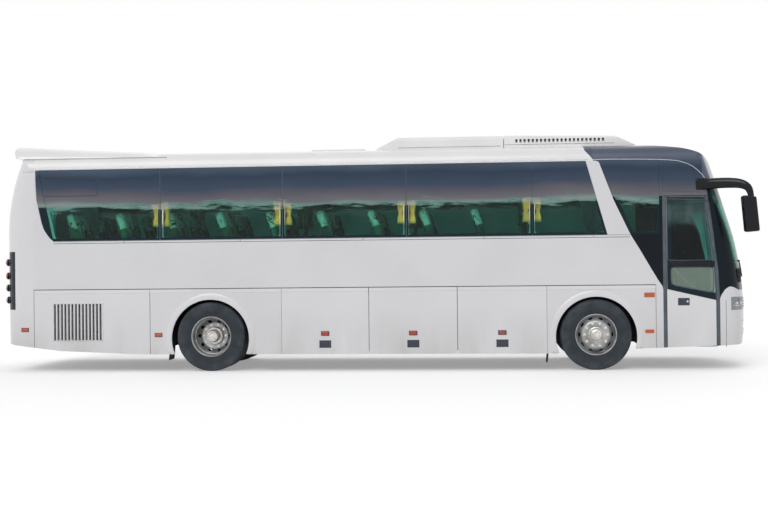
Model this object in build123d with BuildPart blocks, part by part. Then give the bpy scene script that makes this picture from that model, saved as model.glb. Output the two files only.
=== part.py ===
"""Long-distance coach: hollow body shell split at its real panel seams, glazing, doors,
luggage bays, axles and wheels, modelled at full size in millimetres.

+X points to the front of the coach, +Y to its left side and +Z up.
The origin is the centre of the plan at ground level."""
from build123d import *
import math
import os

os.makedirs("parts", exist_ok=True)

# Overall layout
front_overhang = 2300
wheelbase = 5740
rear_overhang = 3250
body_width = 2500
roof_top_z = 3340
overall_length = front_overhang + wheelbase + rear_overhang
front_axle_x = overall_length / 2 - front_overhang
rear_axle_x = front_axle_x - wheelbase
half_width = body_width / 2

# Levels above the ground
skirt_z = 250
tail_bottom_z = 437
nose_bottom_z = 363
step_floor_z = 370
belt_z = 1250
sill_z = 1985
waist_z = 1950
glass_top_z = 3075
door_top_z = 2540
door_bottom_z = 314
mask_bottom_z = 1100
mask_top_z = 2680
saloon_floor_z = 1300
platform_z = 900

# Walls, glass and running gaps
wall = 50
glass_thickness = 6
bond = 0.5
seat_gap = 0.3
shut_gap = 8
pane_gap = 3
overrun = 60
floor_thickness = 60

# Outer form: how the plan changes with height
tumblehome = 45
front_crown_radius = 3000
rear_crown_radius = 8000
roof_crown_radius = 15000
roof_corner_radius = 230
section_relief = 1
front_corner_radius = 300
rear_corner_radius = 250

# Columns: height share of the roof, front set-back share of the front overhang,
# rear set-back share of the rear overhang, front corner share of its radius
lower_level_shares = [
    (0.060, 0.0140, 0.0035, 1.00),
    (0.325, 0.0000, 0.0000, 1.00),
]
waist_level_shares = (0.0565, 0.0000, 0.75)
upper_level_shares = [
    (0.783, 0.1457, 0.0120, 0.55),
    (1.020, 0.2600, 0.0900, 0.55),
]

# Roof line seen from the side, ahead of the front axle
roof_fall_ahead = 0
roof_break_ahead = 1200
roof_break_z = 3260
nose_ahead = 1900
nose_z = 2900
tail_fall_behind = 2400
tail_top_z = 3240

# Skirt line seen from the side
rear_skirt_break = 1080
rear_skirt_low = 2320
rear_skirt_break_z = 262
front_skirt_ahead = 600
front_skirt_z = 318
nose_skirt_ahead = 1980

# Passenger door and front jambs, ahead of the front axle
door_rear_ahead = 1018
door_front_ahead = 1733
seal_width = 48
jamb_break_z = 1020
jamb_mid_z = 1450
jamb_high_z = 2035
jamb_mid_back = 20
jamb_high_back = 92
jamb_top_back = 158
header_split_ahead = 1550

# Windows, ahead of the front axle
window_first_ahead = -915
window_pitch = 1860
window_count = 4
rear_pane_end_ahead = -8400
rear_pane_lean = 240
slash_top_rear = -124
slash_top_front = 64
slash_foot_rear = 178
slash_foot_front = 508
front_window_end = 930
quarter_top_z = 3000
quarter_foot_z = 2600
quarter_end_ahead = 1500

# Lower flaps
bay_first_ahead = -713
bay_pitch = 1315
bay_count = 3
tail_cut_ahead = -8467
rear_flap_end_ahead = -6660

# Wheels and arches
tyre_dia = 1044
tyre_width = 280
tyre_bore_dia = 575
arch_radius = 600
arch_centre_z = 492
track_inset = 175
twin_spacing = 325


def ahead(distance):
    """X of a place given by its distance ahead of the front axle."""
    return front_axle_x + distance


def side_width(height):
    """Half width of the outer form at one height, with the lean of the window band."""
    return half_width - max(0, height - waist_z) * tumblehome / (roof_top_z - waist_z)


def plan_outline(height, front_x, rear_x, corner, inset):
    """Face of the plan at one height: crowned nose and tail, straight sides, round corners."""
    side = side_width(height) - inset
    nose = front_x - inset
    tail = rear_x + inset
    nose_fall = front_crown_radius - math.sqrt(front_crown_radius ** 2 - side ** 2)
    tail_fall = rear_crown_radius - math.sqrt(rear_crown_radius ** 2 - side ** 2)
    with BuildSketch(Plane.XY.offset(height)) as outline:
        with BuildLine():
            ThreePointArc((nose - nose_fall, -side), (nose, 0), (nose - nose_fall, side))
            Line((nose - nose_fall, side), (tail + tail_fall, side))
            ThreePointArc((tail + tail_fall, side), (tail, 0), (tail + tail_fall, -side))
            Line((tail + tail_fall, -side), (nose - nose_fall, -side))
        make_face()
        fillet(outline.vertices().group_by(Axis.X)[-1], corner - inset)
        fillet(outline.vertices().group_by(Axis.X)[0], rear_corner_radius - inset)
    return outline.sketch


def level_outline(row, inset):
    """Plan outline of one row of the level tables."""
    z_share, front_share, rear_share, corner_share = row
    return plan_outline(z_share * roof_top_z, front_axle_x + front_overhang * (1 - front_share),
                        rear_axle_x - rear_overhang * (1 - rear_share),
                        front_corner_radius * corner_share, inset)


def body_form(inset, open_below=False):
    """The closed outer form of the coach, moved inwards by the inset."""
    front_share, rear_share, corner_share = waist_level_shares
    waist_face = plan_outline(waist_z, front_axle_x + front_overhang * (1 - front_share),
                              rear_axle_x - rear_overhang * (1 - rear_share),
                              front_corner_radius * corner_share, inset)
    lower_faces = [level_outline(row, inset).face() for row in lower_level_shares]
    upper_faces = [level_outline(row, inset).face() for row in upper_level_shares]
    with BuildPart() as lower:
        loft(sections=lower_faces + [waist_face.face()])
    with BuildPart() as upper:
        loft(sections=[waist_face.face()] + upper_faces)
    crown_y = half_width - tumblehome - inset + section_relief
    crown_fall = crown_y ** 2 / (2 * roof_crown_radius)
    side_top = roof_top_z - inset
    waist_half = half_width - inset + section_relief
    with BuildPart() as form:
        add(lower.part)
        add(upper.part)
        with BuildSketch(Plane.YZ.offset(-overall_length)) as section:
            with BuildLine():
                ThreePointArc((-crown_y, side_top - crown_fall), (0, side_top),
                              (crown_y, side_top - crown_fall))
                Polyline((crown_y, side_top - crown_fall), (waist_half, waist_z),
                         (waist_half, 0), (-waist_half, 0), (-waist_half, waist_z),
                         (-crown_y, side_top - crown_fall))
            make_face()
            fillet(section.vertices().group_by(Axis.Y)[-1], roof_corner_radius - inset)
        extrude(amount=2 * overall_length, mode=Mode.INTERSECT)
        with BuildSketch(Plane.XZ):
            with BuildLine():
                fall = TangentArc((ahead(roof_fall_ahead), side_top),
                                  (ahead(roof_break_ahead) - inset / 2, roof_break_z - inset),
                                  tangent=(1, 0))
                nose = TangentArc(fall @ 1, (ahead(nose_ahead) - inset, nose_z - inset / 2),
                                  tangent=fall % 1)
                if open_below:
                    foot = [(overall_length, nose_z - inset / 2), (overall_length, -overrun),
                            (-overall_length, -overrun)]
                else:
                    foot = [(overall_length, nose_z), (overall_length, nose_bottom_z),
                            (ahead(nose_skirt_ahead), nose_bottom_z),
                            (ahead(front_skirt_ahead), front_skirt_z),
                            (ahead(-front_skirt_ahead), skirt_z),
                            (rear_axle_x - rear_skirt_break, rear_skirt_break_z),
                            (rear_axle_x - rear_skirt_low, front_skirt_z),
                            (rear_axle_x - rear_overhang, tail_bottom_z),
                            (-overall_length, tail_bottom_z)]
                Polyline(nose @ 1, *foot, (-overall_length, tail_top_z - inset),
                         (rear_axle_x - rear_overhang, tail_top_z - inset),
                         (rear_axle_x - tail_fall_behind, side_top), fall @ 0)
            make_face()
        extrude(amount=body_width, both=True, mode=Mode.INTERSECT)
    return form.part


def side_prism(outline, low_y, high_y, corner=0):
    """Prism of an outline drawn in the side view, between two places across the coach."""
    with BuildPart(mode=Mode.PRIVATE) as prism:
        with BuildSketch(Plane.XZ.offset(-high_y)) as drawn:
            with BuildLine():
                Polyline(*outline, close=True)
            make_face()
            if corner:
                fillet(drawn.vertices(), corner)
        extrude(amount=high_y - low_y)
    return prism.part


def block(low_x, high_x, low_y, high_y, low_z, high_z):
    """Upright box between two corners."""
    size = (high_x - low_x, high_y - low_y, high_z - low_z)
    centre = ((low_x + high_x) / 2, (low_y + high_y) / 2, (low_z + high_z) / 2)
    return Pos(*centre) * Box(*size, mode=Mode.PRIVATE)


def quad(foot_rear, foot_front, top_rear, top_front, low_z, high_z, shrink):
    """Four-sided outline in the side view, edges moved in by the shrink."""
    return [(ahead(foot_rear) + shrink, low_z + shrink), (ahead(foot_front) - shrink, low_z + shrink),
            (ahead(top_front) - shrink, high_z - shrink), (ahead(top_rear) + shrink, high_z - shrink)]


def save(piece, label):
    """Label a finished piece and write it."""
    piece.part.label = label
    export_step(piece.part, "parts/" + label + ".step")
    finished.append(label)


finished = []
wide = half_width + overrun

outer = body_form(0)
inner = body_form(wall, open_below=True)
shell = outer - inner
glass_skin = outer - body_form(glass_thickness, open_below=True)
glass_seat = outer - body_form(glass_thickness + bond, open_below=True)
cap_form = body_form(-seat_gap)
with BuildPart() as side_skin:
    add(glass_skin)
    add(block(ahead(tail_cut_ahead), ahead(door_front_ahead), -wide, -half_width + 2 * wall, waist_z,
              roof_top_z),
        mode=Mode.INTERSECT)
with BuildPart() as side_seat:
    add(glass_seat)
    add(block(ahead(tail_cut_ahead), ahead(door_front_ahead), -wide, -half_width + 2 * wall, waist_z,
              roof_top_z),
        mode=Mode.INTERSECT)
with BuildPart() as side_shell:
    add(shell)
    add(block(ahead(tail_cut_ahead), ahead(nose_ahead), -wide, -half_width / 2, 0, glass_top_z),
        mode=Mode.INTERSECT)


def jamb_line(offset):
    """Front jamb of the passenger door in the side view, from the ground up."""
    foot = ahead(door_front_ahead) + offset
    return [(foot, -overrun), (foot, jamb_break_z), (foot - jamb_mid_back, jamb_mid_z),
            (foot - jamb_high_back, jamb_high_z), (foot - jamb_top_back, door_top_z)]


mask_foot = jamb_line(seal_width)
mask_crown = (mask_foot[-1][0] - jamb_mid_back, mask_top_z)

# Window panes of one side: foot rear, foot front, top rear, top front, ahead of the front axle
window_places = [(window_first_ahead - window_pitch * (k + 1), window_first_ahead - window_pitch * k,
                  window_first_ahead - window_pitch * (k + 1), window_first_ahead - window_pitch * k)
                 for k in range(window_count - 1)]
rear_post_ahead = window_first_ahead - window_pitch * (window_count - 1)
window_places += [
    (rear_pane_end_ahead + rear_pane_lean, rear_post_ahead, rear_pane_end_ahead, rear_post_ahead),
    (window_first_ahead, slash_foot_rear, window_first_ahead, slash_top_rear),
    (slash_foot_front, front_window_end, slash_top_front, front_window_end),
]
frame_lap = 40
window_corner = 30


def window_prisms(shrink, corner=0):
    """All the window outlines of the right side, shrunk and made into prisms."""
    return [side_prism(quad(*place, sill_z, glass_top_z, shrink), -wide, -half_width + 3 * wall, corner)
            for place in window_places]


quarter_place = (front_window_end + seal_width, quarter_end_ahead, front_window_end + seal_width,
                 quarter_end_ahead - jamb_high_back)
driver_window_foot_z = 1620
driver_window_place = (front_window_end + seal_width, door_front_ahead - jamb_high_back,
                       front_window_end + seal_width, door_front_ahead - jamb_top_back - seal_width)

# Side walls
wall_outline = [(ahead(tail_cut_ahead), -overrun)] + mask_foot + [
    mask_crown, (ahead(header_split_ahead), mask_top_z), (ahead(header_split_ahead), glass_top_z),
    (ahead(tail_cut_ahead), glass_top_z)]
bay_rear_ahead = bay_first_ahead - bay_pitch * bay_count
arch_places = [front_axle_x, rear_axle_x]

with BuildPart() as common_wall:
    add(side_shell.part)
    add(side_prism(wall_outline, -wide, -half_width / 2), mode=Mode.INTERSECT)
    for place in arch_places:
        with Locations(Location((place, -half_width, arch_centre_z), (90, 0, 0))):
            Cylinder(arch_radius, 4 * wall, mode=Mode.SUBTRACT)
    add(block(ahead(bay_rear_ahead), ahead(bay_first_ahead), -wide, 0, -overrun, belt_z), mode=Mode.SUBTRACT)
    add(block(ahead(tail_cut_ahead) - overrun, ahead(rear_flap_end_ahead), -wide, 0, -overrun, belt_z),
        mode=Mode.SUBTRACT)
    add([prism & side_seat.part for prism in window_prisms(0)], mode=Mode.SUBTRACT)
    add(window_prisms(frame_lap, window_corner), mode=Mode.SUBTRACT)

door_cut = [(ahead(door_rear_ahead) - seal_width, -overrun),
            (ahead(door_front_ahead) + seal_width + overrun, -overrun),
            (ahead(door_front_ahead) + seal_width + overrun, door_top_z),
            (ahead(door_rear_ahead) - seal_width, door_top_z)]
quarter_outline = quad(*quarter_place, quarter_foot_z, quarter_top_z, 0)
quarter_hole = side_prism(quad(*quarter_place, quarter_foot_z, quarter_top_z, frame_lap), -wide,
                          -half_width + 3 * wall, window_corner)
quarter_seat = side_prism(quarter_outline, -wide, -half_width + 3 * wall) & side_seat.part
quarter_pane = side_prism(quad(*quarter_place, quarter_foot_z, quarter_top_z, pane_gap), -wide,
                          -half_width + 3 * wall) & side_skin.part
driver_outline = quad(*driver_window_place, driver_window_foot_z, door_top_z, 0)
driver_hole = side_prism(quad(*driver_window_place, driver_window_foot_z, door_top_z, frame_lap), -wide,
                         -half_width + 3 * wall, window_corner)

with BuildPart() as side_wall_right:
    add(common_wall.part)
    add(side_prism(door_cut, -wide, 0), mode=Mode.SUBTRACT)
    add([quarter_seat, quarter_hole], mode=Mode.SUBTRACT)
save(side_wall_right, "side_wall_right")

with BuildPart() as driver_skin:
    add(glass_skin)
    add(side_prism(driver_outline, -wide, -half_width + 3 * wall), mode=Mode.INTERSECT)
with BuildPart() as driver_seat_cut:
    add(glass_seat)
    add(side_prism(driver_outline, -wide, -half_width + 3 * wall), mode=Mode.INTERSECT)
with BuildPart() as side_wall_left:
    add(common_wall.part)
    add([quarter_seat, quarter_hole, driver_seat_cut.part, driver_hole], mode=Mode.SUBTRACT)
    mirror(about=Plane.XZ, mode=Mode.REPLACE)
save(side_wall_left, "side_wall_left")

# Side glazing, both sides
with BuildPart() as right_glass:
    add([prism & side_skin.part for prism in window_prisms(pane_gap)])
    add(quarter_pane)
with BuildPart() as driver_pane:
    add(driver_skin.part)
    add(side_prism(quad(*driver_window_place, driver_window_foot_z, door_top_z, pane_gap), -wide, 0),
        mode=Mode.INTERSECT)
with BuildPart() as side_glass:
    add(right_glass.part)
    add(right_glass.part.mirror(Plane.XZ))
    add(driver_pane.part.mirror(Plane.XZ))
save(side_glass, "side_glass")
print("walls and glass", len(side_glass.part.solids()))

# Roof, with an opening under the hatch, and the dark front roof section
hatch_rear_ahead = -4307
hatch_front_ahead = -3465
hatch_half_width = 400
hatch_frame = 60
hatch_rim_height = 25
hatch_lid_thickness = 22
roof_split_ahead = -20
hatch_top_z = roof_top_z + hatch_rim_height
with BuildPart() as hatch_well:
    add(block(ahead(hatch_rear_ahead) + hatch_frame, ahead(hatch_front_ahead) - hatch_frame,
              -hatch_half_width + hatch_frame, hatch_half_width - hatch_frame,
              roof_top_z - 3 * wall, hatch_top_z + overrun))
with BuildPart() as roof:
    add(shell)
    add(block(ahead(tail_cut_ahead), ahead(roof_split_ahead), -wide, wide, glass_top_z, hatch_top_z),
        mode=Mode.INTERSECT)
    add(block(ahead(hatch_rear_ahead), ahead(hatch_front_ahead), -hatch_half_width, hatch_half_width,
              roof_top_z - wall / 2, hatch_top_z))
    add(hatch_well.part, mode=Mode.SUBTRACT)
save(roof, "roof")

with BuildPart() as roof_hatch:
    with BuildSketch(Plane.XY.offset(hatch_top_z + seat_gap)):
        with Locations((ahead((hatch_rear_ahead + hatch_front_ahead) / 2), 0)):
            RectangleRounded(hatch_front_ahead - hatch_rear_ahead, 2 * hatch_half_width, hatch_frame)
    extrude(amount=hatch_lid_thickness)
    fillet(roof_hatch.edges().group_by(Axis.Z)[-1], hatch_lid_thickness / 3)
save(roof_hatch, "roof_hatch")

front_roof_outline = [(ahead(roof_split_ahead), glass_top_z), (ahead(header_split_ahead), glass_top_z),
                      (ahead(header_split_ahead), mask_top_z), (overall_length, mask_top_z),
                      (overall_length, roof_top_z + overrun), (ahead(roof_split_ahead), roof_top_z + overrun)]
with BuildPart() as roof_front:
    add(shell)
    add(side_prism(front_roof_outline, -wide, wide), mode=Mode.INTERSECT)
save(roof_front, "roof_front")

# Towing sockets and number plate holes, shared by the frame and the panels they pass
socket_y = -400
socket_radius = 40
socket_bore = 16
socket_depth = 120
socket_clear = 5
front_socket_z = 760
front_socket_ahead = 2268
rear_socket_z = 560
rear_socket_set_in = 10
plate_hole_pitch = 210
plate_hole_radius = 3.5
plate_z = 560

# Front mask with the windscreen, and the front bumper with its lamp seats
screen_foot_ahead = 1969
screen_foot_z = 1500
screen_mid_ahead = 1861
screen_mid_z = 2032
screen_top_ahead = 1640
screen_top_z = 2640
screen_lap = 45


def screen_outline(shrink):
    """Windscreen in the side view, open towards the front."""
    return [(ahead(screen_foot_ahead) + shrink, screen_foot_z + shrink),
            (ahead(screen_mid_ahead) + shrink, screen_mid_z),
            (ahead(screen_top_ahead) + shrink, screen_top_z - shrink),
            (overall_length, screen_top_z - shrink), (overall_length, screen_foot_z + shrink)]


mask_outline = [(point[0], max(point[1], mask_bottom_z)) for point in mask_foot[1:]]
mask_outline = [(mask_foot[0][0], mask_bottom_z)] + mask_foot[2:] + [
    mask_crown, (overall_length, mask_top_z), (overall_length, mask_bottom_z)]
with BuildPart() as front_mask:
    add(shell)
    add(side_prism(mask_outline, -wide, wide), mode=Mode.INTERSECT)
    add(side_prism(screen_outline(0), -wide, wide) & glass_seat, mode=Mode.SUBTRACT)
    add(side_prism(screen_outline(screen_lap), -wide, wide), mode=Mode.SUBTRACT)
save(front_mask, "front_mask")

with BuildPart() as windscreen:
    add(glass_skin)
    add(side_prism(screen_outline(pane_gap), -wide, wide), mode=Mode.INTERSECT)
save(windscreen, "windscreen")

lamp_rear_ahead = 1942
lamp_low_z = 870
lamp_high_z = 1060
lamp_inner_y = 640


def lamp_zone(shrink):
    """Both headlamp outlines, drawn from the front and rounded, as prisms along the coach."""
    with BuildPart(mode=Mode.PRIVATE) as zone:
        with BuildSketch(Plane.YZ.offset(ahead(lamp_rear_ahead) + shrink)):
            for sign in (-1, 1):
                with Locations((sign * (lamp_inner_y + wide) / 2, (lamp_low_z + lamp_high_z) / 2)):
                    RectangleRounded(wide - lamp_inner_y - 2 * shrink, lamp_high_z - lamp_low_z - 2 * shrink,
                                     window_corner - shrink)
        extrude(amount=overall_length / 4)
    return zone.part


bumper_foot = jamb_line(seal_width)
with BuildPart() as front_bumper:
    add(shell)
    add(block(bumper_foot[0][0], overall_length, -wide, wide, 0, mask_bottom_z), mode=Mode.INTERSECT)
    add(lamp_zone(0), mode=Mode.SUBTRACT)
    with Locations(Location((ahead(front_socket_ahead), socket_y, front_socket_z), (0, 90, 0))):
        Cylinder(socket_radius + socket_clear, 6 * wall, mode=Mode.SUBTRACT)
    for sign in (-1, 1):
        with Locations(Location((ahead(front_socket_ahead), sign * plate_hole_pitch / 2, plate_z),
                                (0, 90, 0))):
            Cylinder(plate_hole_radius, 6 * wall, mode=Mode.SUBTRACT)
save(front_bumper, "front_bumper")

with BuildPart() as headlamps:
    add(shell)
    add(lamp_zone(bond), mode=Mode.INTERSECT)
save(headlamps, "headlamps")

# Rear cap: rear window, engine door opening and lamp seats
rear_window_half = 900
rear_window_low_z = 2080
rear_window_high_z = 2900
engine_door_half = 860
rest_half_width = 300
engine_door_low_z = 640
engine_door_high_z = 1780
tail_lamp_inner_y = 1000
tail_lamp_front_ahead = -8759
tail_lamp_low_z = 948
tail_lamp_high_z = 1833
tail_x = rear_axle_x - rear_overhang
tail_depth = 700
with BuildPart() as tail_lamp_zone:
    add(block(-overall_length, ahead(tail_lamp_front_ahead), -wide, -tail_lamp_inner_y,
              tail_lamp_low_z, tail_lamp_high_z))
    add(block(-overall_length, ahead(tail_lamp_front_ahead), tail_lamp_inner_y, wide,
              tail_lamp_low_z, tail_lamp_high_z))
with BuildPart() as rear_cap:
    add(shell)
    add(block(-overall_length, ahead(tail_cut_ahead), -wide, wide, 0, roof_top_z + overrun),
        mode=Mode.INTERSECT)
    add(block(-overall_length, tail_x + tail_depth, -engine_door_half, engine_door_half,
              engine_door_low_z, engine_door_high_z), mode=Mode.SUBTRACT)
    add(block(-overall_length, tail_x + tail_depth, -rear_window_half, rear_window_half,
              rear_window_low_z, rear_window_high_z) & glass_seat, mode=Mode.SUBTRACT)
    add(block(-overall_length, tail_x + tail_depth, -rear_window_half + frame_lap,
              rear_window_half - frame_lap,
              rear_window_low_z + frame_lap, rear_window_high_z - frame_lap), mode=Mode.SUBTRACT)
    add(tail_lamp_zone.part & glass_seat, mode=Mode.SUBTRACT)
    with Locations(Location((tail_x, socket_y, rear_socket_z), (0, 90, 0))):
        Cylinder(socket_radius + socket_clear, 6 * wall, mode=Mode.SUBTRACT)
    add(block(tail_x + wall / 2, tail_x + 2 * wall, -rest_half_width, rest_half_width,
              engine_door_low_z - wall, engine_door_low_z) & outer)
    add(block(tail_x, tail_x + 2 * wall, -rest_half_width, rest_half_width,
              engine_door_low_z - wall, engine_door_low_z + wall) & (Pos(seat_gap, 0, 0) * inner))
save(rear_cap, "rear_cap")

with BuildPart() as rear_window:
    add(glass_skin)
    add(block(-overall_length, tail_x + tail_depth, -rear_window_half + pane_gap, rear_window_half - pane_gap,
              rear_window_low_z + pane_gap, rear_window_high_z - pane_gap), mode=Mode.INTERSECT)
save(rear_window, "rear_window")

with BuildPart() as engine_door:
    add(shell)
    add(block(-overall_length, tail_x + tail_depth, -engine_door_half + shut_gap, engine_door_half - shut_gap,
              engine_door_low_z + 2 * shut_gap, engine_door_high_z - shut_gap), mode=Mode.INTERSECT)
save(engine_door, "engine_door")

# Lamp panels at the rear corners with a column of round bulging lamps
lamp_radius = 52
lamp_heights = [1670, 1465, 1280, 1095]
lamp_centre_y = 1105
lamp_stand = 20
proud_form = Pos(-lamp_stand, 0, 0) * outer
with BuildPart() as round_lamps:
    for height in lamp_heights:
        for sign in (-1, 1):
            with Locations(Location((tail_x + tail_depth / 3, sign * lamp_centre_y, height), (0, -90, 0))):
                Cylinder(lamp_radius, tail_depth, align=(Align.CENTER, Align.CENTER, Align.MIN))
    add(proud_form, mode=Mode.INTERSECT)
    add(outer, mode=Mode.SUBTRACT)
with BuildPart() as tail_lamps:
    add(glass_skin)
    add(tail_lamp_zone.part, mode=Mode.INTERSECT)
    add(round_lamps.part)
save(tail_lamps, "tail_lamps")

# Luggage bay doors of both sides, from the same lower wall
with BuildPart() as lower_shell:
    add(shell)
    add(block(ahead(tail_cut_ahead), ahead(bay_first_ahead), -wide, -half_width / 2, 0, belt_z),
        mode=Mode.INTERSECT)
latch_length = 165
latch_height = 100
latch_pocket = 14
latch_z = 405
bay_marker_z = 563
marker_length = 92
marker_height = 44
marker_stand = 8
for number in range(bay_count):
    bay_front = ahead(bay_first_ahead) - number * bay_pitch
    with BuildPart() as bay_door:
        add(lower_shell.part)
        add(block(bay_front - bay_pitch + shut_gap / 2, bay_front - shut_gap / 2, -wide, 0,
                  0, belt_z - shut_gap), mode=Mode.INTERSECT)
        with Locations((bay_front - bay_pitch / 2, -half_width, latch_z)):
            Box(latch_length, 2 * latch_pocket, latch_height, mode=Mode.SUBTRACT)
            Box(latch_length - 2 * latch_pocket, latch_pocket, latch_height / 3,
                align=(Align.CENTER, Align.MIN, Align.CENTER))
            Box(latch_pocket, 2 * latch_pocket, latch_height / 3, align=(Align.CENTER, Align.MIN,
                                                                         Align.CENTER))
        with Locations((bay_front - bay_pitch / 2, -half_width, bay_marker_z)):
            Box(marker_length, marker_stand, marker_height, align=(Align.CENTER, Align.MAX, Align.CENTER))
    save(bay_door, f"bay_door_right_{number + 1}")
    with BuildPart() as bay_door_left:
        add(bay_door.part.mirror(Plane.XZ))
    save(bay_door_left, f"bay_door_left_{number + 1}")

# Louvred flaps behind the rear wheels
louvre_rear_ahead = -8166
louvre_front_ahead = -7402
louvre_low_z = 480
louvre_high_z = 1030
louvre_count = 14
louvre_slot_share = 0.55
louvre_pitch = (louvre_front_ahead - louvre_rear_ahead) / louvre_count
with BuildPart() as rear_flap:
    add(lower_shell.part)
    add(block(ahead(tail_cut_ahead) + shut_gap, ahead(rear_flap_end_ahead) - shut_gap, -wide, 0,
              0, belt_z - shut_gap), mode=Mode.INTERSECT)
    with BuildSketch(Plane.XZ.offset(half_width - wall - overrun)):
        with Locations((ahead((louvre_rear_ahead + louvre_front_ahead) / 2),
                        (louvre_low_z + louvre_high_z) / 2)):
            with GridLocations(louvre_pitch, 0, louvre_count, 1):
                Rectangle(louvre_pitch * louvre_slot_share, louvre_high_z - louvre_low_z)
    extrude(amount=wall + 2 * overrun, mode=Mode.SUBTRACT)
save(rear_flap, "rear_flap_right")
with BuildPart() as rear_flap_left:
    add(rear_flap.part.mirror(Plane.XZ))
save(rear_flap_left, "rear_flap_left")

# Passenger door: leaf with two glazed openings, its pane, its seals and its swing column
door_glass_rear_z = 1183
door_glass_front_z = 1018
door_bar_low_z = 1505
door_bar_high_z = 1580
door_stile = 62
door_rear = ahead(door_rear_ahead)


def jamb_x(height, offset):
    """X of the leaning front jamb at one height."""
    line = jamb_line(offset)
    for low, high in zip(line, line[1:]):
        if low[1] <= height <= high[1]:
            return low[0] + (high[0] - low[0]) * (height - low[1]) / (high[1] - low[1])
    return line[-1][0]


def door_outline(shrink, low_rear_z, low_front_z, high_z):
    """Leaf outline in the side view between two heights, following the leaning front jamb."""
    breaks = [point for point in jamb_line(-shrink) if low_front_z < point[1] < high_z]
    return [(door_rear + shrink, low_rear_z), (jamb_x(low_front_z, -shrink), low_front_z)] + breaks + [
        (jamb_x(high_z, -shrink), high_z), (door_rear + shrink, high_z)]


leaf_outline = door_outline(shut_gap, door_bottom_z, door_bottom_z, door_top_z - shut_gap)
pane_outline = door_outline(shut_gap + pane_gap, door_glass_rear_z, door_glass_front_z,
                            door_top_z - shut_gap - pane_gap)
with BuildPart() as door_shell:
    add(shell)
    add(side_prism(leaf_outline, -wide, -half_width / 2), mode=Mode.INTERSECT)
door_pivot_arm = 480
column_ahead = 1620
column_y = -half_width + 2.6 * wall
column_radius = 20
column_top_z = 1180
arm_heights = [520, 1080]
arm_thickness = 30
pin_clear = 0.05
lug_outer = 24
lug_height = 70
pivot_x = ahead(column_ahead) - door_pivot_arm
pin_radius = 10
with BuildPart() as door_pane:
    add(glass_skin)
    add(side_prism(pane_outline, -wide, -half_width / 2), mode=Mode.INTERSECT)
save(door_pane, "door_glass")
with BuildPart() as passenger_door:
    add(door_shell.part)
    add(side_prism(door_outline(shut_gap,
                                door_glass_rear_z - pane_gap, door_glass_front_z - pane_gap, door_top_z),
                   -wide, -half_width / 2) & glass_seat, mode=Mode.SUBTRACT)
    add(side_prism(door_outline(door_stile, door_bar_high_z, door_bar_high_z, door_top_z - door_stile),
                   -wide, 0, window_corner), mode=Mode.SUBTRACT)
    add(side_prism(door_outline(door_stile,
                                door_glass_rear_z + door_stile, door_glass_front_z + 1.5 * door_stile,
                                door_bar_low_z), -wide, 0, window_corner), mode=Mode.SUBTRACT)
    for height in arm_heights:
        with Locations((pivot_x, column_y, height)):
            Cylinder(lug_outer, lug_height)
        add(block(pivot_x - lug_outer, pivot_x + lug_outer, -half_width + wall / 2, column_y,
                  height - lug_height / 2, height + lug_height / 2))
        with Locations((pivot_x, column_y, height)):
            Cylinder(pin_radius + pin_clear, 2 * lug_height, mode=Mode.SUBTRACT)
            Cylinder(2 * lug_outer, arm_thickness + 2 * shut_gap / 4, mode=Mode.SUBTRACT)
save(passenger_door, "passenger_door")
print("doors")

with BuildPart() as door_column:
    with Locations((ahead(column_ahead), column_y, (step_floor_z + column_top_z) / 2)):
        Cylinder(column_radius, column_top_z - step_floor_z - 2 * seat_gap)
    for height in arm_heights:
        add(block(pivot_x, ahead(column_ahead), column_y - arm_thickness / 2, column_y + arm_thickness / 2,
                  height - arm_thickness / 2, height + arm_thickness / 2))
        with Locations((pivot_x, column_y, height)):
            Cylinder(arm_thickness / 2 + 1, arm_thickness)
            Cylinder(pin_radius, lug_height)
save(door_column, "door_column")

rubber_set_back = 2
rear_seal = side_prism([(door_rear - seal_width + bond, door_bottom_z), (door_rear, door_bottom_z),
                        (door_rear, door_top_z - bond), (door_rear - seal_width + bond, door_top_z - bond)],
                       -wide, -half_width + 3 * wall)
front_seal = side_prism(door_outline(0, door_bottom_z, door_bottom_z, door_top_z - bond)[1:-1] +
                        [(jamb_x(z, seal_width - bond), z) for z in
                         (door_top_z - bond, jamb_high_z, jamb_mid_z, jamb_break_z, door_bottom_z)],
                        -wide, -half_width + 3 * wall)
with BuildPart() as door_seals:
    add(rear_seal)
    add(front_seal)
    add(Pos(0, rubber_set_back, 0) * outer, mode=Mode.INTERSECT)
    add(Pos(0, -rubber_set_back, 0) * inner, mode=Mode.SUBTRACT)
save(door_seals, "door_seals")

# Saloon floor, driver's platform with entrance steps, and bulkhead walls
inner_half = half_width - wall - seat_gap
floor_front_ahead = 640
step_count = 3
step_depth = 230
well_inner_y = -480
with BuildPart() as saloon_floor:
    add(block(ahead(tail_cut_ahead), ahead(floor_front_ahead), -inner_half, inner_half,
              saloon_floor_z - floor_thickness, saloon_floor_z))
    add(block(ahead(floor_front_ahead) - floor_thickness, ahead(floor_front_ahead), -inner_half, inner_half,
              platform_z, saloon_floor_z - floor_thickness / 2))
save(saloon_floor, "saloon_floor")

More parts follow.
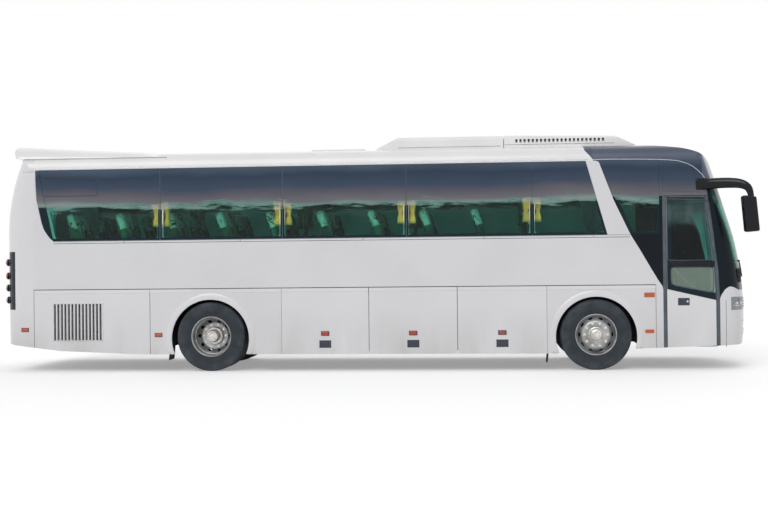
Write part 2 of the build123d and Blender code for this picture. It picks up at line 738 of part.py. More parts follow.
platform_front_ahead = 1900
with BuildPart() as driver_platform:
    add(block(ahead(floor_front_ahead) - floor_thickness, ahead(platform_front_ahead) - 3 * wall,
              well_inner_y,
              inner_half, platform_z - floor_thickness, platform_z - seat_gap))
    step_rise = (platform_z - step_floor_z) / step_count
    for number in range(step_count):
        add(block(door_rear, ahead(door_front_ahead), -inner_half + number * step_depth,
                  well_inner_y + wall / 2, step_floor_z + number * step_rise - floor_thickness / 2,
                  step_floor_z + number * step_rise))
        add(block(door_rear, ahead(door_front_ahead), -inner_half + (number + 1) * step_depth - wall / 4,
                  -inner_half + (number + 1) * step_depth + wall / 4,
                  step_floor_z + number * step_rise - floor_thickness / 2,
                  step_floor_z + (number + 1) * step_rise - floor_thickness / 4))
    add(block(door_rear - wall, door_rear, -inner_half, well_inner_y + wall / 2,
              step_floor_z - floor_thickness / 2,
              platform_z - seat_gap))
    add(block(ahead(floor_front_ahead) - floor_thickness, door_rear - wall, -inner_half,
              well_inner_y + wall / 2,
              platform_z - floor_thickness, platform_z - seat_gap))
    add(block(ahead(door_front_ahead), ahead(door_front_ahead) + wall, -inner_half + 2 * wall,
              well_inner_y + wall / 2, step_floor_z - floor_thickness / 2, platform_z - seat_gap))
save(driver_platform, "driver_platform")

# Luggage bays: floor tray, end bulkheads and two partitions between the doors
bay_floor_z = 345
bay_floor_thickness = 45
bay_wall = 40
bay_top_z = saloon_floor_z - floor_thickness - seat_gap
with BuildPart() as luggage_bays:
    add(block(ahead(bay_rear_ahead) - bay_wall, ahead(bay_first_ahead) + bay_wall, -inner_half, inner_half,
              bay_floor_z - bay_floor_thickness, bay_floor_z))
    for number in range(bay_count + 1):
        wall_x = ahead(bay_first_ahead) - number * bay_pitch
        add(block(wall_x - bay_wall / 2, wall_x + bay_wall / 2, -inner_half, inner_half,
                  bay_floor_z - bay_wall / 2, bay_top_z))
save(luggage_bays, "luggage_bays")

# Chassis frame: side rails and cross members before and behind the luggage bays
rail_y = 400
rail_width = 80
rail_height = 160
rail_high_z = platform_z - floor_thickness - seat_gap
rail_low_z = rail_high_z - rail_height
front_rail_front_ahead = 2050
rear_rail_rear_ahead = -8700
cross_count = 4


def rail_section(rear_x, front_x):
    """Ladder of two rails and even cross members between two places."""
    step = (front_x - rear_x - rail_width) / (cross_count - 1)
    rails = block(rear_x, front_x, rail_y - rail_width / 2, rail_y + rail_width / 2, rail_low_z, rail_high_z)
    rails += block(rear_x, front_x, -rail_y - rail_width / 2, -rail_y + rail_width / 2, rail_low_z,
                   rail_high_z)
    for number in range(cross_count):
        rails += block(rear_x + number * step, rear_x + number * step + rail_width, -rail_y, rail_y,
                       rail_low_z + rail_width / 2, rail_high_z)
    return rails


frame_front = ahead(front_rail_front_ahead)
frame_rear = ahead(rear_rail_rear_ahead)
with BuildPart() as chassis_frame:
    add(rail_section(ahead(bay_first_ahead) + bay_wall / 2 + seat_gap, frame_front))
    add(rail_section(frame_rear, ahead(bay_rear_ahead) - bay_wall / 2 - seat_gap))
    add(block(frame_rear, frame_rear + rail_width, socket_y - rail_width / 2, socket_y + rail_width / 2,
              rear_socket_z - socket_radius, rail_low_z + rail_width / 2))
    with Locations(Location((frame_front, socket_y, front_socket_z), (0, 90, 0))):
        Cylinder(socket_radius, ahead(front_socket_ahead) - frame_front, align=(Align.CENTER, Align.CENTER,
                                                                                Align.MIN))
    with Locations(Location((ahead(front_socket_ahead) - socket_depth, socket_y, front_socket_z),
                            (0, 90, 0))):
        Cylinder(socket_bore, 2 * socket_depth, align=(Align.CENTER, Align.CENTER, Align.MIN),
                 mode=Mode.SUBTRACT)
    with Locations(Location((frame_rear + rail_width / 2, socket_y, rear_socket_z), (0, -90, 0))):
        Cylinder(socket_radius, frame_rear + rail_width / 2 - tail_x - rear_socket_set_in,
                 align=(Align.CENTER, Align.CENTER, Align.MIN))
    with Locations(Location((tail_x + rear_socket_set_in + socket_depth, socket_y, rear_socket_z),
                            (0, -90, 0))):
        Cylinder(socket_bore, 2 * socket_depth, align=(Align.CENTER, Align.CENTER, Align.MIN),
                 mode=Mode.SUBTRACT)
save(chassis_frame, "chassis_frame")

# Wheel housings, larger than the arches so that the steered tyres clear them
liner = 5
housing_depth = 660
steered_room = 30
housing_radius = arch_radius + steered_room
with BuildPart() as wheel_housings:
    for place in arch_places:
        with BuildSketch(Plane.XZ.offset(half_width - wall - seat_gap)):
            with Locations((place, arch_centre_z)):
                Circle(housing_radius + liner)
                Circle(housing_radius, mode=Mode.SUBTRACT)
                with Locations((0, -arch_radius)):
                    Rectangle(3 * arch_radius, 2 * arch_radius - 4 * floor_thickness, mode=Mode.SUBTRACT)
        extrude(amount=-housing_depth)
        with BuildSketch(Plane.XZ.offset(half_width - wall - seat_gap - housing_depth)):
            with Locations((place, arch_centre_z)):
                Circle(housing_radius + liner)
                with Locations((0, -arch_radius)):
                    Rectangle(3 * arch_radius, 2 * arch_radius - 4 * floor_thickness, mode=Mode.SUBTRACT)
                with Locations((0, 2 * floor_thickness)):
                    Rectangle(2 * rail_width, 8 * floor_thickness, mode=Mode.SUBTRACT)
        extrude(amount=-liner)
    mirror(about=Plane.XZ)
save(wheel_housings, "wheel_housings")
print("floor and frame")

# Axles: front beam with knuckles on kingpins, drive axle with its casing and shaft
axle_z = tyre_dia / 2
kingpin_y = 900
kingpin_radius = 22
kingpin_height = 190
beam_radius = 48
knuckle_radius = 58
knuckle_gap = 0.3
yoke_share = 0.92
spindle_radius = 50
front_wheel_y = half_width - track_inset
hub_radius = 150
with BuildPart() as front_axle:
    add(block(front_axle_x - beam_radius, front_axle_x + beam_radius, -kingpin_y + 2 * knuckle_radius,
              kingpin_y - 2 * knuckle_radius, axle_z - 2.2 * beam_radius, axle_z - 0.4 * beam_radius))
    for side in (-1, 1):
        low_y = min(side * kingpin_y, side * (kingpin_y - 3 * knuckle_radius))
        high_y = max(side * kingpin_y, side * (kingpin_y - 3 * knuckle_radius))
        add(block(front_axle_x - beam_radius, front_axle_x + beam_radius, low_y, high_y,
                  axle_z - beam_radius, axle_z + beam_radius))
        with Locations((front_axle_x, side * kingpin_y, axle_z)):
            Cylinder(beam_radius, 2 * beam_radius)
            Cylinder(kingpin_radius, kingpin_height)
        add(block(front_axle_x - beam_radius, front_axle_x + beam_radius,
                  side * rail_y - rail_width / 2, side * rail_y + rail_width / 2,
                  axle_z - beam_radius, rail_low_z - seat_gap))
save(front_axle, "front_axle")

with BuildPart() as knuckle_right:
    with Locations((front_axle_x, -kingpin_y, axle_z)):
        Cylinder(knuckle_radius, kingpin_height)
        Cylinder(knuckle_radius + overrun, 2 * beam_radius + 2 * knuckle_gap, mode=Mode.SUBTRACT)
    add(block(front_axle_x - knuckle_radius, front_axle_x + knuckle_radius,
              -kingpin_y - 1.35 * knuckle_radius,
              -kingpin_y - yoke_share * knuckle_radius, axle_z - kingpin_height / 2,
              axle_z + kingpin_height / 2))
    for sign in (-1, 1):
        add(block(front_axle_x - knuckle_radius / 2, front_axle_x + knuckle_radius / 2,
                  -kingpin_y - 1.2 * knuckle_radius, -kingpin_y,
                  axle_z + sign * (beam_radius + kingpin_height / 2) / 2 - (kingpin_height / 2
                                                                            - beam_radius) / 2
                  + knuckle_gap,
                  axle_z + sign * (beam_radius + kingpin_height / 2) / 2 + (kingpin_height / 2
                                                                            - beam_radius) / 2
                  - knuckle_gap))
    with Locations(Location((front_axle_x, -kingpin_y - 1.3 * knuckle_radius, axle_z), (90, 0, 0))):
        Cylinder(spindle_radius, 2.2 * knuckle_radius, align=(Align.CENTER, Align.CENTER, Align.MIN))
    with Locations((front_axle_x, -kingpin_y, axle_z)):
        Cylinder(kingpin_radius + pin_clear, 2 * kingpin_height, mode=Mode.SUBTRACT)
save(knuckle_right, "knuckle_right")
with BuildPart() as knuckle_left:
    add(knuckle_right.part.mirror(Plane.XZ))
save(knuckle_left, "knuckle_left")

casing_radius = 75
drive_radius = 210
shaft_radius = 45
gearbox_ahead = -7300
rear_outer_y = half_width - track_inset
rear_inner_y = rear_outer_y - twin_spacing
bearing_end_y = 560
stub_radius = 55
with BuildPart() as rear_axle:
    with Locations(Location((rear_axle_x, 0, axle_z), (90, 0, 0))):
        Cylinder(casing_radius, 2 * bearing_end_y)
        Cylinder(stub_radius, 2 * (rear_outer_y - 2 * casing_radius))
    with Locations((rear_axle_x, 0, axle_z)):
        Sphere(drive_radius)
    with Locations(Location((rear_axle_x, 0, axle_z), (0, -90, 0))):
        Cylinder(shaft_radius, rear_axle_x - ahead(gearbox_ahead) - seat_gap,
                 align=(Align.CENTER, Align.CENTER, Align.MIN))
    for sign in (-1, 1):
        add(block(rear_axle_x - casing_radius, rear_axle_x + casing_radius, sign * rail_y - rail_width / 2,
                  sign * rail_y + rail_width / 2, axle_z, rail_low_z - seat_gap))
save(rear_axle, "rear_axle")

# Engine with its gearbox, one plain mass hung between the rear rails
engine_rear_ahead = -8600
engine_half = 340
engine_low_z = 420
engine_top_z = 1180
with BuildPart() as engine:
    add(block(ahead(engine_rear_ahead), ahead(gearbox_ahead) - 4 * rail_width, -engine_half, engine_half,
              engine_low_z, engine_top_z))
    add(block(ahead(gearbox_ahead) - 5 * rail_width, ahead(gearbox_ahead), -engine_half / 2, engine_half / 2,
              engine_low_z, axle_z + engine_half / 2))
    fillet(engine.edges().filter_by(Axis.X), window_corner)
save(engine, "engine")


def ring_profile(points, x, y, side):
    """Face of radius and outward pairs for a wheel at one place, outward being the side."""
    return [(x + radius, y + side * out) for radius, out in points]


rim_outer = tyre_bore_dia / 2 - seat_gap
rim_half = 115
rim_metal = 9
flange_radius = 302
disc_metal = 12
disc_face = 118
face_radius = 190
shoulder_radius = 262
hand_hole_count = 10
hand_hole_radius = 30
hand_hole_pitch_radius = 226
nut_count = 10
nut_pitch_radius = 167.5
nut_radius = 16
nut_height = 26
cap_radius = 88
cap_height = 60
tyre_half = tyre_width / 2
tread_half = 118
bead_half = 108
sidewall_bulge_radius = 420
tread_edge_radius = 505

barrel_points = [(rim_outer, -rim_half), (flange_radius, -rim_half), (flange_radius, -rim_half - rim_metal),
                 (rim_outer - rim_metal, -rim_half - rim_metal), (rim_outer - rim_metal,
                                                                  rim_half + rim_metal),
                 (flange_radius, rim_half + rim_metal), (flange_radius, rim_half), (rim_outer, rim_half)]


def wheel_rim(x, y, side, face, hub):
    """Steel rim: barrel with flanges, dished disc with hand holes, nuts and a stepped hub cap."""
    with BuildPart(mode=Mode.PRIVATE) as rim:
        with BuildSketch(Plane.XY.offset(axle_z)):
            with BuildLine():
                Polyline(*ring_profile(barrel_points, x, y, side), close=True)
            make_face()
        revolve(axis=Axis((x, y, axle_z), (0, 1, 0)))
        with BuildSketch(Plane.XY.offset(axle_z)):
            with BuildLine():
                Polyline(*ring_profile([(hub, face - disc_metal), (face_radius, face - disc_metal),
                                        (shoulder_radius, 0 if face > 0 else -disc_metal),
                                        (rim_outer - rim_metal / 2,
                                         -disc_metal), (rim_outer - rim_metal / 2, disc_metal),
                                        (shoulder_radius, disc_metal), (face_radius, face), (hub, face)],
                                       x, y, side), close=True)
            make_face()
        revolve(axis=Axis((x, y, axle_z), (0, 1, 0)))
        with Locations(Plane((x, y, axle_z), x_dir=(1, 0, 0), z_dir=(0, side, 0))):
            with PolarLocations(hand_hole_pitch_radius, hand_hole_count):
                Cylinder(hand_hole_radius, 2 * rim_half, mode=Mode.SUBTRACT)
    return rim.part


def wheel_hub(x, y, side, face, length):
    """Hub drum with its cap and the wheel nuts on the disc face."""
    with BuildPart(mode=Mode.PRIVATE) as hub:
        with Locations(Plane((x, y + side * face, axle_z), x_dir=(1, 0, 0), z_dir=(0, side, 0))):
            Cylinder(cap_radius, length, align=(Align.CENTER, Align.CENTER, Align.MIN))
            with PolarLocations(nut_pitch_radius, nut_count):
                Cylinder(nut_radius, nut_height, align=(Align.CENTER, Align.CENTER, Align.MIN))
    return hub.part


def tyre(x, y):
    """Tyre with round shoulders and bulging walls."""
    half = [(tyre_bore_dia / 2, bead_half), (sidewall_bulge_radius, tyre_half),
            (tread_edge_radius, tread_half + 2 * rim_metal), (tyre_dia / 2, tread_half)]
    with BuildPart(mode=Mode.PRIVATE) as body:
        with BuildSketch(Plane.XY.offset(axle_z)):
            with BuildLine():
                right = [(x + radius, y + out) for radius, out in half]
                left = [(x + radius, y - out) for radius, out in reversed(half)]
                Polyline(*right, *left, close=True)
            make_face()
        revolve(axis=Axis((x, y, axle_z), (0, 1, 0)))
    return body.part


hub_bore = stub_radius + seat_gap
front_bore = spindle_radius + seat_gap
with BuildPart() as rim_front_right:
    add(wheel_rim(front_axle_x, -front_wheel_y, -1, disc_face, front_bore))
    add(wheel_hub(front_axle_x, -front_wheel_y, -1, disc_face, cap_height))
    with Locations(Plane((front_axle_x, -front_wheel_y + disc_face / 2, axle_z), x_dir=(1, 0, 0),
                         z_dir=(0, -1, 0))):
        Cylinder(hub_radius, 1.5 * disc_face - disc_metal / 2, align=(Align.CENTER, Align.CENTER, Align.MIN))
        Cylinder(front_bore, 1.5 * disc_face + cap_height / 3, align=(Align.CENTER, Align.CENTER, Align.MIN),
                 mode=Mode.SUBTRACT)
save(rim_front_right, "rim_front_right")
with BuildPart() as rim_front_left:
    add(rim_front_right.part.mirror(Plane.XZ))
save(rim_front_left, "rim_front_left")
with BuildPart() as tyre_front_right:
    add(tyre(front_axle_x, -front_wheel_y))
save(tyre_front_right, "tyre_front_right")
with BuildPart() as tyre_front_left:
    add(tyre_front_right.part.mirror(Plane.XZ))
save(tyre_front_left, "tyre_front_left")

twin_face = -(twin_spacing / 2 - disc_metal)
with BuildPart() as rims_rear_right:
    add(wheel_rim(rear_axle_x, -rear_outer_y, -1, twin_face, hub_bore))
    add(wheel_rim(rear_axle_x, -rear_inner_y, 1, twin_face, hub_bore))
    with Locations(Plane((rear_axle_x, -rear_inner_y + twin_spacing / 4, axle_z), x_dir=(1, 0, 0),
                         z_dir=(0, -1, 0))):
        Cylinder(hub_radius, twin_spacing / 4 + 2 * disc_metal + twin_spacing / 2,
                 align=(Align.CENTER, Align.CENTER, Align.MIN))
    add(wheel_hub(rear_axle_x, -rear_outer_y, -1, twin_face, twin_spacing / 2 + cap_height))
    with Locations(Plane((rear_axle_x, -rear_inner_y + twin_spacing, axle_z), x_dir=(1, 0, 0),
                         z_dir=(0, -1, 0))):
        Cylinder(hub_bore, twin_spacing + rear_outer_y - rear_inner_y - 2 * casing_radius + casing_radius,
                 align=(Align.CENTER, Align.CENTER, Align.MIN), mode=Mode.SUBTRACT)
save(rims_rear_right, "rims_rear_right")
with BuildPart() as rims_rear_left:
    add(rims_rear_right.part.mirror(Plane.XZ))
save(rims_rear_left, "rims_rear_left")
with BuildPart() as tyres_rear_right:
    add(tyre(rear_axle_x, -rear_outer_y))
    add(tyre(rear_axle_x, -rear_inner_y))
save(tyres_rear_right, "tyres_rear_right")
with BuildPart() as tyres_rear_left:
    add(tyres_rear_right.part.mirror(Plane.XZ))
save(tyres_rear_left, "tyres_rear_left")
print("wheels")

# Seats: cushion and back of each pair, on pedestals
first_row_ahead = -250
row_pitch = 775
row_count = 10
seat_pair_inner_y = 290
seat_pair_width = 820
cushion_length = 450
cushion_top = 450
cushion_depth = 130
back_thickness = 110
back_height = 1130
back_lean = 210
pedestal_half = 40


def seat_pair(front_x, low_y, high_y, floor_z):
    """Cushion, reclined back and pedestal of one pair."""
    rear_x = front_x - cushion_length
    outline = [(front_x, floor_z + cushion_top - cushion_depth), (front_x, floor_z + cushion_top),
               (rear_x, floor_z + cushion_top), (rear_x - back_lean, floor_z + back_height),
               (rear_x - back_lean - back_thickness, floor_z + back_height),
               (rear_x - back_thickness, floor_z + cushion_top - cushion_depth)]
    pair = side_prism(outline, low_y, high_y, pedestal_half / 2)
    middle = (low_y + high_y) / 2
    foot_x = front_x - cushion_length / 2
    return pair + block(foot_x - 3 * pedestal_half, foot_x + 3 * pedestal_half, middle - pedestal_half,
                        middle + pedestal_half, floor_z + seat_gap, floor_z + cushion_top - cushion_depth)


seat_low_y = seat_pair_inner_y
seat_high_y = seat_pair_inner_y + seat_pair_width
with BuildPart() as passenger_seats:
    for number in range(row_count):
        row_x = ahead(first_row_ahead) - number * row_pitch
        add(seat_pair(row_x, -seat_high_y, -seat_low_y, saloon_floor_z), clean=False)
        add(seat_pair(row_x, seat_low_y, seat_high_y, saloon_floor_z), clean=False)
save(passenger_seats, "passenger_seats")

driver_seat_ahead = 1250
driver_seat_half = 255
driver_y = 650
with BuildPart() as driver_seat:
    add(seat_pair(ahead(driver_seat_ahead), driver_y - driver_seat_half, driver_y + driver_seat_half,
                  platform_z))
save(driver_seat, "driver_seat")

# Dashboard and steering wheel
dash_rear_ahead = 1480
dash_front_ahead = 1900
dash_top_z = 1500
dash_low_z = 1080
dash_half = 1000
with BuildPart() as dashboard:
    add(block(ahead(dash_front_ahead) - 4 * wall, ahead(dash_front_ahead), -dash_half, dash_half,
              dash_low_z, dash_top_z))
    add(side_prism([(ahead(dash_rear_ahead), dash_low_z), (ahead(dash_front_ahead) - 3 * wall, dash_low_z),
                    (ahead(dash_front_ahead) - 3 * wall, dash_top_z), (ahead(dash_rear_ahead) + wall,
                                                                       dash_top_z - wall)],
                   driver_y - 8 * wall, dash_half, window_corner / 2))
    add(block(ahead(dash_front_ahead) - 3 * wall, ahead(dash_front_ahead) - 2 * wall, -dash_half / 3,
              dash_half,
              platform_z, dash_low_z))
save(dashboard, "dashboard")

wheel_radius = 235
wheel_grip = 16
wheel_tilt = 62
column_length = 320
wheel_hub_ahead = 1400
wheel_hub_z = 1640
with BuildPart() as steering_wheel:
    with Locations(Location((ahead(wheel_hub_ahead), driver_y, wheel_hub_z), (0, -90 + wheel_tilt, 0))):
        Torus(wheel_radius, wheel_grip)
        Cylinder(2.5 * wheel_grip, 3 * wheel_grip)
        with PolarLocations(wheel_radius / 2, 4):
            Box(wheel_radius, 2 * wheel_grip, wheel_grip)
        Cylinder(2 * wheel_grip, column_length, align=(Align.CENTER, Align.CENTER, Align.MAX))
    add(dashboard.part, mode=Mode.SUBTRACT)
save(steering_wheel, "steering_wheel")

# Luggage racks and curtains
rack_low_z = 2700
rack_inner_y = 760
rack_thickness = 30
with BuildPart() as luggage_racks:
    for sign in (-1, 1):
        low_y, high_y = sorted((sign * rack_inner_y, sign * (side_width(rack_low_z) - wall / 2)))
        add(block(ahead(tail_cut_ahead), ahead(-window_pitch / 4), low_y, high_y, rack_low_z,
                  rack_low_z + rack_thickness))
        low_y, high_y = sorted((sign * rack_inner_y, sign * (rack_inner_y + rack_thickness)))
        add(block(ahead(tail_cut_ahead), ahead(-window_pitch / 4), low_y, high_y, rack_low_z,
                  rack_low_z + 4 * rack_thickness))
    for sign in (-1, 1):
        add(Pos(0, sign * seat_gap, 0) * inner, mode=Mode.INTERSECT)
save(luggage_racks, "luggage_racks")

curtain_width = 190
curtain_thickness = 40
curtain_low_z = 1990
curtain_top_z = rack_low_z - seat_gap
curtain_y = half_width - wall - tumblehome - 2 * seat_gap
curtain_places = [window_first_ahead - window_pitch * k for k in range(window_count)]
with BuildPart() as curtains:
    for place in curtain_places:
        for sign in (-1, 1):
            low_y, high_y = sorted((sign * curtain_y, sign * (curtain_y - curtain_thickness)))
            add(block(ahead(place) - curtain_width / 2, ahead(place) + curtain_width / 2, low_y, high_y,
                      curtain_low_z, curtain_top_z), clean=False)
save(curtains, "curtains")
print("inside")

# Roof air-conditioning units, seated on the crowned roof
ac_half_width = 950
ac_side_round = 55
ac_rear_foot = -3231
ac_rear_shoulder = -2896
ac_joint = -1315
ac_joint_gap = 10
ac_front_shoulder = 330
ac_front_slope = 628
ac_front_foot = 659
ac_top_z = 3497
ac_front_top_z = 3467
ac_slope_z = 3325
ac_base_z = 3200
ac_hole = 32
ac_hole_pitch = 61
ac_hole_depth = 26
ac_hole_count = 22
ac_hole_first = -1125
ac_hole_z = 3432
ac_rear_outline = [(ahead(ac_rear_foot), ac_base_z), (ahead(ac_rear_foot), ac_slope_z),
                   (ahead(ac_rear_shoulder), ac_top_z), (ahead(ac_joint) - ac_joint_gap / 2, ac_top_z),
                   (ahead(ac_joint) - ac_joint_gap / 2, ac_base_z)]
ac_front_outline = [(ahead(ac_joint) + ac_joint_gap / 2, ac_base_z), (ahead(ac_joint) + ac_joint_gap / 2,
                                                                      ac_top_z),
                    (ahead(ac_front_shoulder), ac_front_top_z), (ahead(ac_front_slope), ac_slope_z),
                    (ahead(ac_front_foot), ac_base_z)]
with BuildPart() as ac_rear:
    add(side_prism(ac_rear_outline, -ac_half_width, ac_half_width))
    fillet(ac_rear.edges().filter_by(Axis.X).group_by(Axis.Z)[-1], ac_side_round)
    add(cap_form, mode=Mode.SUBTRACT)
save(ac_rear, "ac_rear")
with BuildPart() as ac_front:
    add(side_prism(ac_front_outline, -ac_half_width, ac_half_width))
    chamfer(ac_front.faces().filter_by(Axis.Y).edges().group_by(Axis.Z)[-1], ac_side_round / 2)
    with Locations((ahead(ac_hole_first) + (ac_hole_count - 1) * ac_hole_pitch / 2, 0, ac_hole_z - ac_hole)):
        with GridLocations(ac_hole_pitch, 2 * ac_half_width, ac_hole_count, 2):
            Box(ac_hole, 2 * ac_hole_depth, ac_hole, mode=Mode.SUBTRACT)
    add(cap_form, mode=Mode.SUBTRACT)
save(ac_front, "ac_front")

# Fairing over the tail
fairing_front_foot = -6410
fairing_front_top = -6609
fairing_rear_top = -8749
fairing_rear_foot = -8680
fairing_front_z = 3345
fairing_rear_z = 3440
fairing_foot_z = 3262
fairing_half_width = 1050
fairing_round = 60
with BuildPart() as rear_spoiler:
    add(side_prism([(ahead(fairing_front_foot), ac_base_z), (ahead(fairing_front_foot), fairing_foot_z),
                    (ahead(fairing_front_top), fairing_front_z), (ahead(fairing_rear_top), fairing_rear_z),
                    (ahead(fairing_rear_foot), fairing_foot_z), (ahead(fairing_rear_foot) + tail_depth / 2,
                                                                 ac_base_z)],
                   -fairing_half_width, fairing_half_width))
    fillet(rear_spoiler.faces().sort_by(Axis.Z)[-1].edges().filter_by(Axis.Y, reverse=True), fairing_round)
    add(cap_form, mode=Mode.SUBTRACT)
save(rear_spoiler, "rear_spoiler")

# Side marker lamps on the fixed panels
marker_places = [(-8606, 641), (-6534, 554), (769, 570)]
signal_ahead = 771
signal_z = 1101
with BuildPart() as marker_lamps:
    for place, height in marker_places:
        with Locations((ahead(place), -half_width - seat_gap, height)):
            Box(marker_length, marker_stand, marker_height, align=(Align.CENTER, Align.MAX, Align.CENTER))
    with Locations((ahead(signal_ahead), -half_width - seat_gap, signal_z)):
        Box(1.3 * marker_length, marker_stand, 1.3 * marker_height, align=(Align.CENTER, Align.MAX,
                                                                           Align.CENTER))
    mirror(about=Plane.XZ)
save(marker_lamps, "marker_lamps")

# Mirrors on curved arms from the front roof corners
arm_radius = 22
arm_route = [(1520, 1205, 2715), (1860, 1330, 2778), (2130, 1440, 2740), (2180, 1455, 2440)]
arm_bend = 120
pad_rear_ahead = 1450
pad_front_ahead = 1592
pad_half_height = 32
mirror_rear_ahead = 2073
mirror_front_ahead = 2288
mirror_low_z = 1992
mirror_high_z = 2522
mirror_inner_y = 1365
mirror_outer_y = 1550
mirror_round = 48
with BuildPart() as mirror_arm:
    with BuildLine() as route:
        FilletPolyline(*[(ahead(x), -y, z) for x, y, z in arm_route], radius=arm_bend)
    with BuildSketch(Plane(origin=route.line @ 0, z_dir=route.line % 0)):
        Circle(arm_radius)
    sweep()
with BuildPart() as mirror_right:
    add(block(ahead(mirror_rear_ahead), ahead(mirror_front_ahead), -mirror_outer_y, -mirror_inner_y,
              mirror_low_z, mirror_high_z))
    fillet(mirror_right.edges(), mirror_round)
    add(mirror_arm.part)
    add(block(ahead(pad_rear_ahead), ahead(pad_front_ahead), -half_width, -half_width + 3 * wall,
              arm_route[0][2] - pad_half_height, arm_route[0][2] + pad_half_height))
    add(cap_form, mode=Mode.SUBTRACT)
save(mirror_right, "mirror_right")
with BuildPart() as mirror_left:
    add(mirror_right.part.mirror(Plane.XZ))
save(mirror_left, "mirror_left")

# Wipers lying along the foot of the windscreen
wiper_pivot_y = 640
wiper_pivot_z = 1385
wiper_tip_y = 420
wiper_blade_z = 1585
blade_half_length = 400
blade_width = 24
wiper_lift = seat_gap
with BuildPart() as wiper_prisms:
    with BuildSketch(Plane.YZ.offset(ahead(screen_mid_ahead))):
        for sign in (-1, 1):
            with BuildLine():
                Polyline((sign * wiper_pivot_y - blade_width, wiper_pivot_z),
                         (sign * wiper_pivot_y + blade_width, wiper_pivot_z),
                         (sign * wiper_tip_y + blade_width / 2,
                          wiper_blade_z), (sign * wiper_tip_y - blade_width / 2, wiper_blade_z),
                         close=True)
            make_face()
            with Locations((sign * wiper_tip_y, wiper_blade_z)):
                Rectangle(2 * blade_half_length, blade_width)
            with Locations((sign * wiper_pivot_y, wiper_pivot_z)):
                Circle(1.6 * blade_width)
    extrude(amount=overall_length / 4)
with BuildPart() as wipers:
    add(wiper_prisms.part)
    add(Pos(lamp_stand, 0, 0) * outer, mode=Mode.INTERSECT)
    add(Pos(wiper_lift, 0, 0) * outer, mode=Mode.SUBTRACT)
save(wipers, "wipers")
print("pieces", len(finished))
print("\n".join(finished))
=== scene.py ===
# %% [markdown]
# # A long-distance coach, dressed for its picture
#
# The coach comes in as a fixed frame: every panel, pane, axle and seat already has its true place
# and size. These cells give it what a bare frame lacks: paint, glass, tyres with tread, wheel nuts,
# padded seats, gathered curtains, lamps and trim. Lengths are metres, +X is the nose, +Y the left
# side and +Z up, with the ground at Z = 0. The axles stand at FRONT_X and REAR_X, and most places
# along the coach are given as a distance ahead of the front one.

# %% The frame comes in
import functools
import math

import bpy
from mathutils import Matrix, Vector


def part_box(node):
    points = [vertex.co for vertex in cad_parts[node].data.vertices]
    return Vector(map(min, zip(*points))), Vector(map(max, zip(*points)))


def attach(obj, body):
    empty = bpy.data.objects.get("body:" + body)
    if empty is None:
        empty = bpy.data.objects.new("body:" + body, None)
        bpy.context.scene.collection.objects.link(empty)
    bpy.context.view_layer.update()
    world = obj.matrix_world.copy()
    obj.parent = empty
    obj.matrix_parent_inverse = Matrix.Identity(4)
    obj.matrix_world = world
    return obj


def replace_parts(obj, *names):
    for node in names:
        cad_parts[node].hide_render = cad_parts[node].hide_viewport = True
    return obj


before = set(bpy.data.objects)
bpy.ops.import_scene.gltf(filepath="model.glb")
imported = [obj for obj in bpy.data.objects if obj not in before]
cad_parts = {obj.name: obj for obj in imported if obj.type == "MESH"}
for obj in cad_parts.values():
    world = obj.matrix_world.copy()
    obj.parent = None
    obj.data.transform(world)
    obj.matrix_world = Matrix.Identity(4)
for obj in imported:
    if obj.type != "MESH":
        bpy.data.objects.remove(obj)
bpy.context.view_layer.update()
FRONT_X = 3.345
REAR_X = FRONT_X - 5.74
AXLE_Z = 0.522
HALF_WIDTH = 1.25
SIDES = (("right", -1), ("left", 1))

# %% [markdown]
# ## Camera
#
# The picture is a plain side view, taken from far off at about eye height. A far camera with a
# long lens keeps the wheels round and the roof line nearly flat; moving closer with a short lens
# would spread the ends of the coach. The small yaw and roll are those of a hand-held picture.

# %% Camera at the picture's place
PICTURE_WIDTH = 768
FOCAL_PIXELS = 1190
YAW = math.radians(4.76)
PITCH = math.atan(6.5 / FOCAL_PIXELS)
ROLL = 0.0105

bpy.ops.object.select_all(action="DESELECT")
bpy.ops.object.camera_add(location=(1.704, -18.87, 1.62))
camera = bpy.context.object
forward = Vector((-math.sin(YAW) * math.cos(PITCH), math.cos(YAW) * math.cos(PITCH), math.sin(PITCH)))
level = Vector((math.cos(YAW), math.sin(YAW), 0))
upward = level.cross(forward)
right = level * math.cos(ROLL) - upward * math.sin(ROLL)
top = level * math.sin(ROLL) + upward * math.cos(ROLL)
camera.rotation_euler = Matrix((right, top, -forward)).transposed().to_euler()
camera.data.sensor_width = 36
camera.data.lens = 36 * FOCAL_PIXELS / PICTURE_WIDTH
camera.data.clip_end = 300
bpy.context.scene.camera = camera
print("camera lens:", round(camera.data.lens, 2), "mm")

# %% [markdown]
# ## Tools for the finishes
#
# A finish is a Principled shader with something going on in it: a tone that drifts, a roughness
# that isn't the same everywhere and a fine bump. These few helpers lay the nodes. All patterns
# read Object coordinates, so they stay put on the coach from every side.

# %% Node helpers
FINISH = {}


def tone(red, green, blue, alpha=1.0):
    """A screen colour, 0 to 255, as the linear colour that shaders take."""
    linear = [((c / 255 + 0.055) / 1.055) ** 2.4 if c > 10 else c / 255 / 12.92 for c in (red, green, blue)]
    return (*linear, alpha)


def feed(socket, value):
    """Links a socket to another one, or sets its plain value."""
    if isinstance(value, bpy.types.NodeSocket):
        value.id_data.links.new(value, socket)
    elif value is not None:
        socket.default_value = value


def node(tree, kind, output, inputs=None, **settings):
    """A node with its settings and its inputs fed; gives back one of its outputs."""
    made = tree.nodes.new("ShaderNode" + kind)
    for name, value in settings.items():
        setattr(made, name, value)
    for name, value in (inputs or {}).items():
        feed(made.inputs[name], value)
    return made.outputs[output]


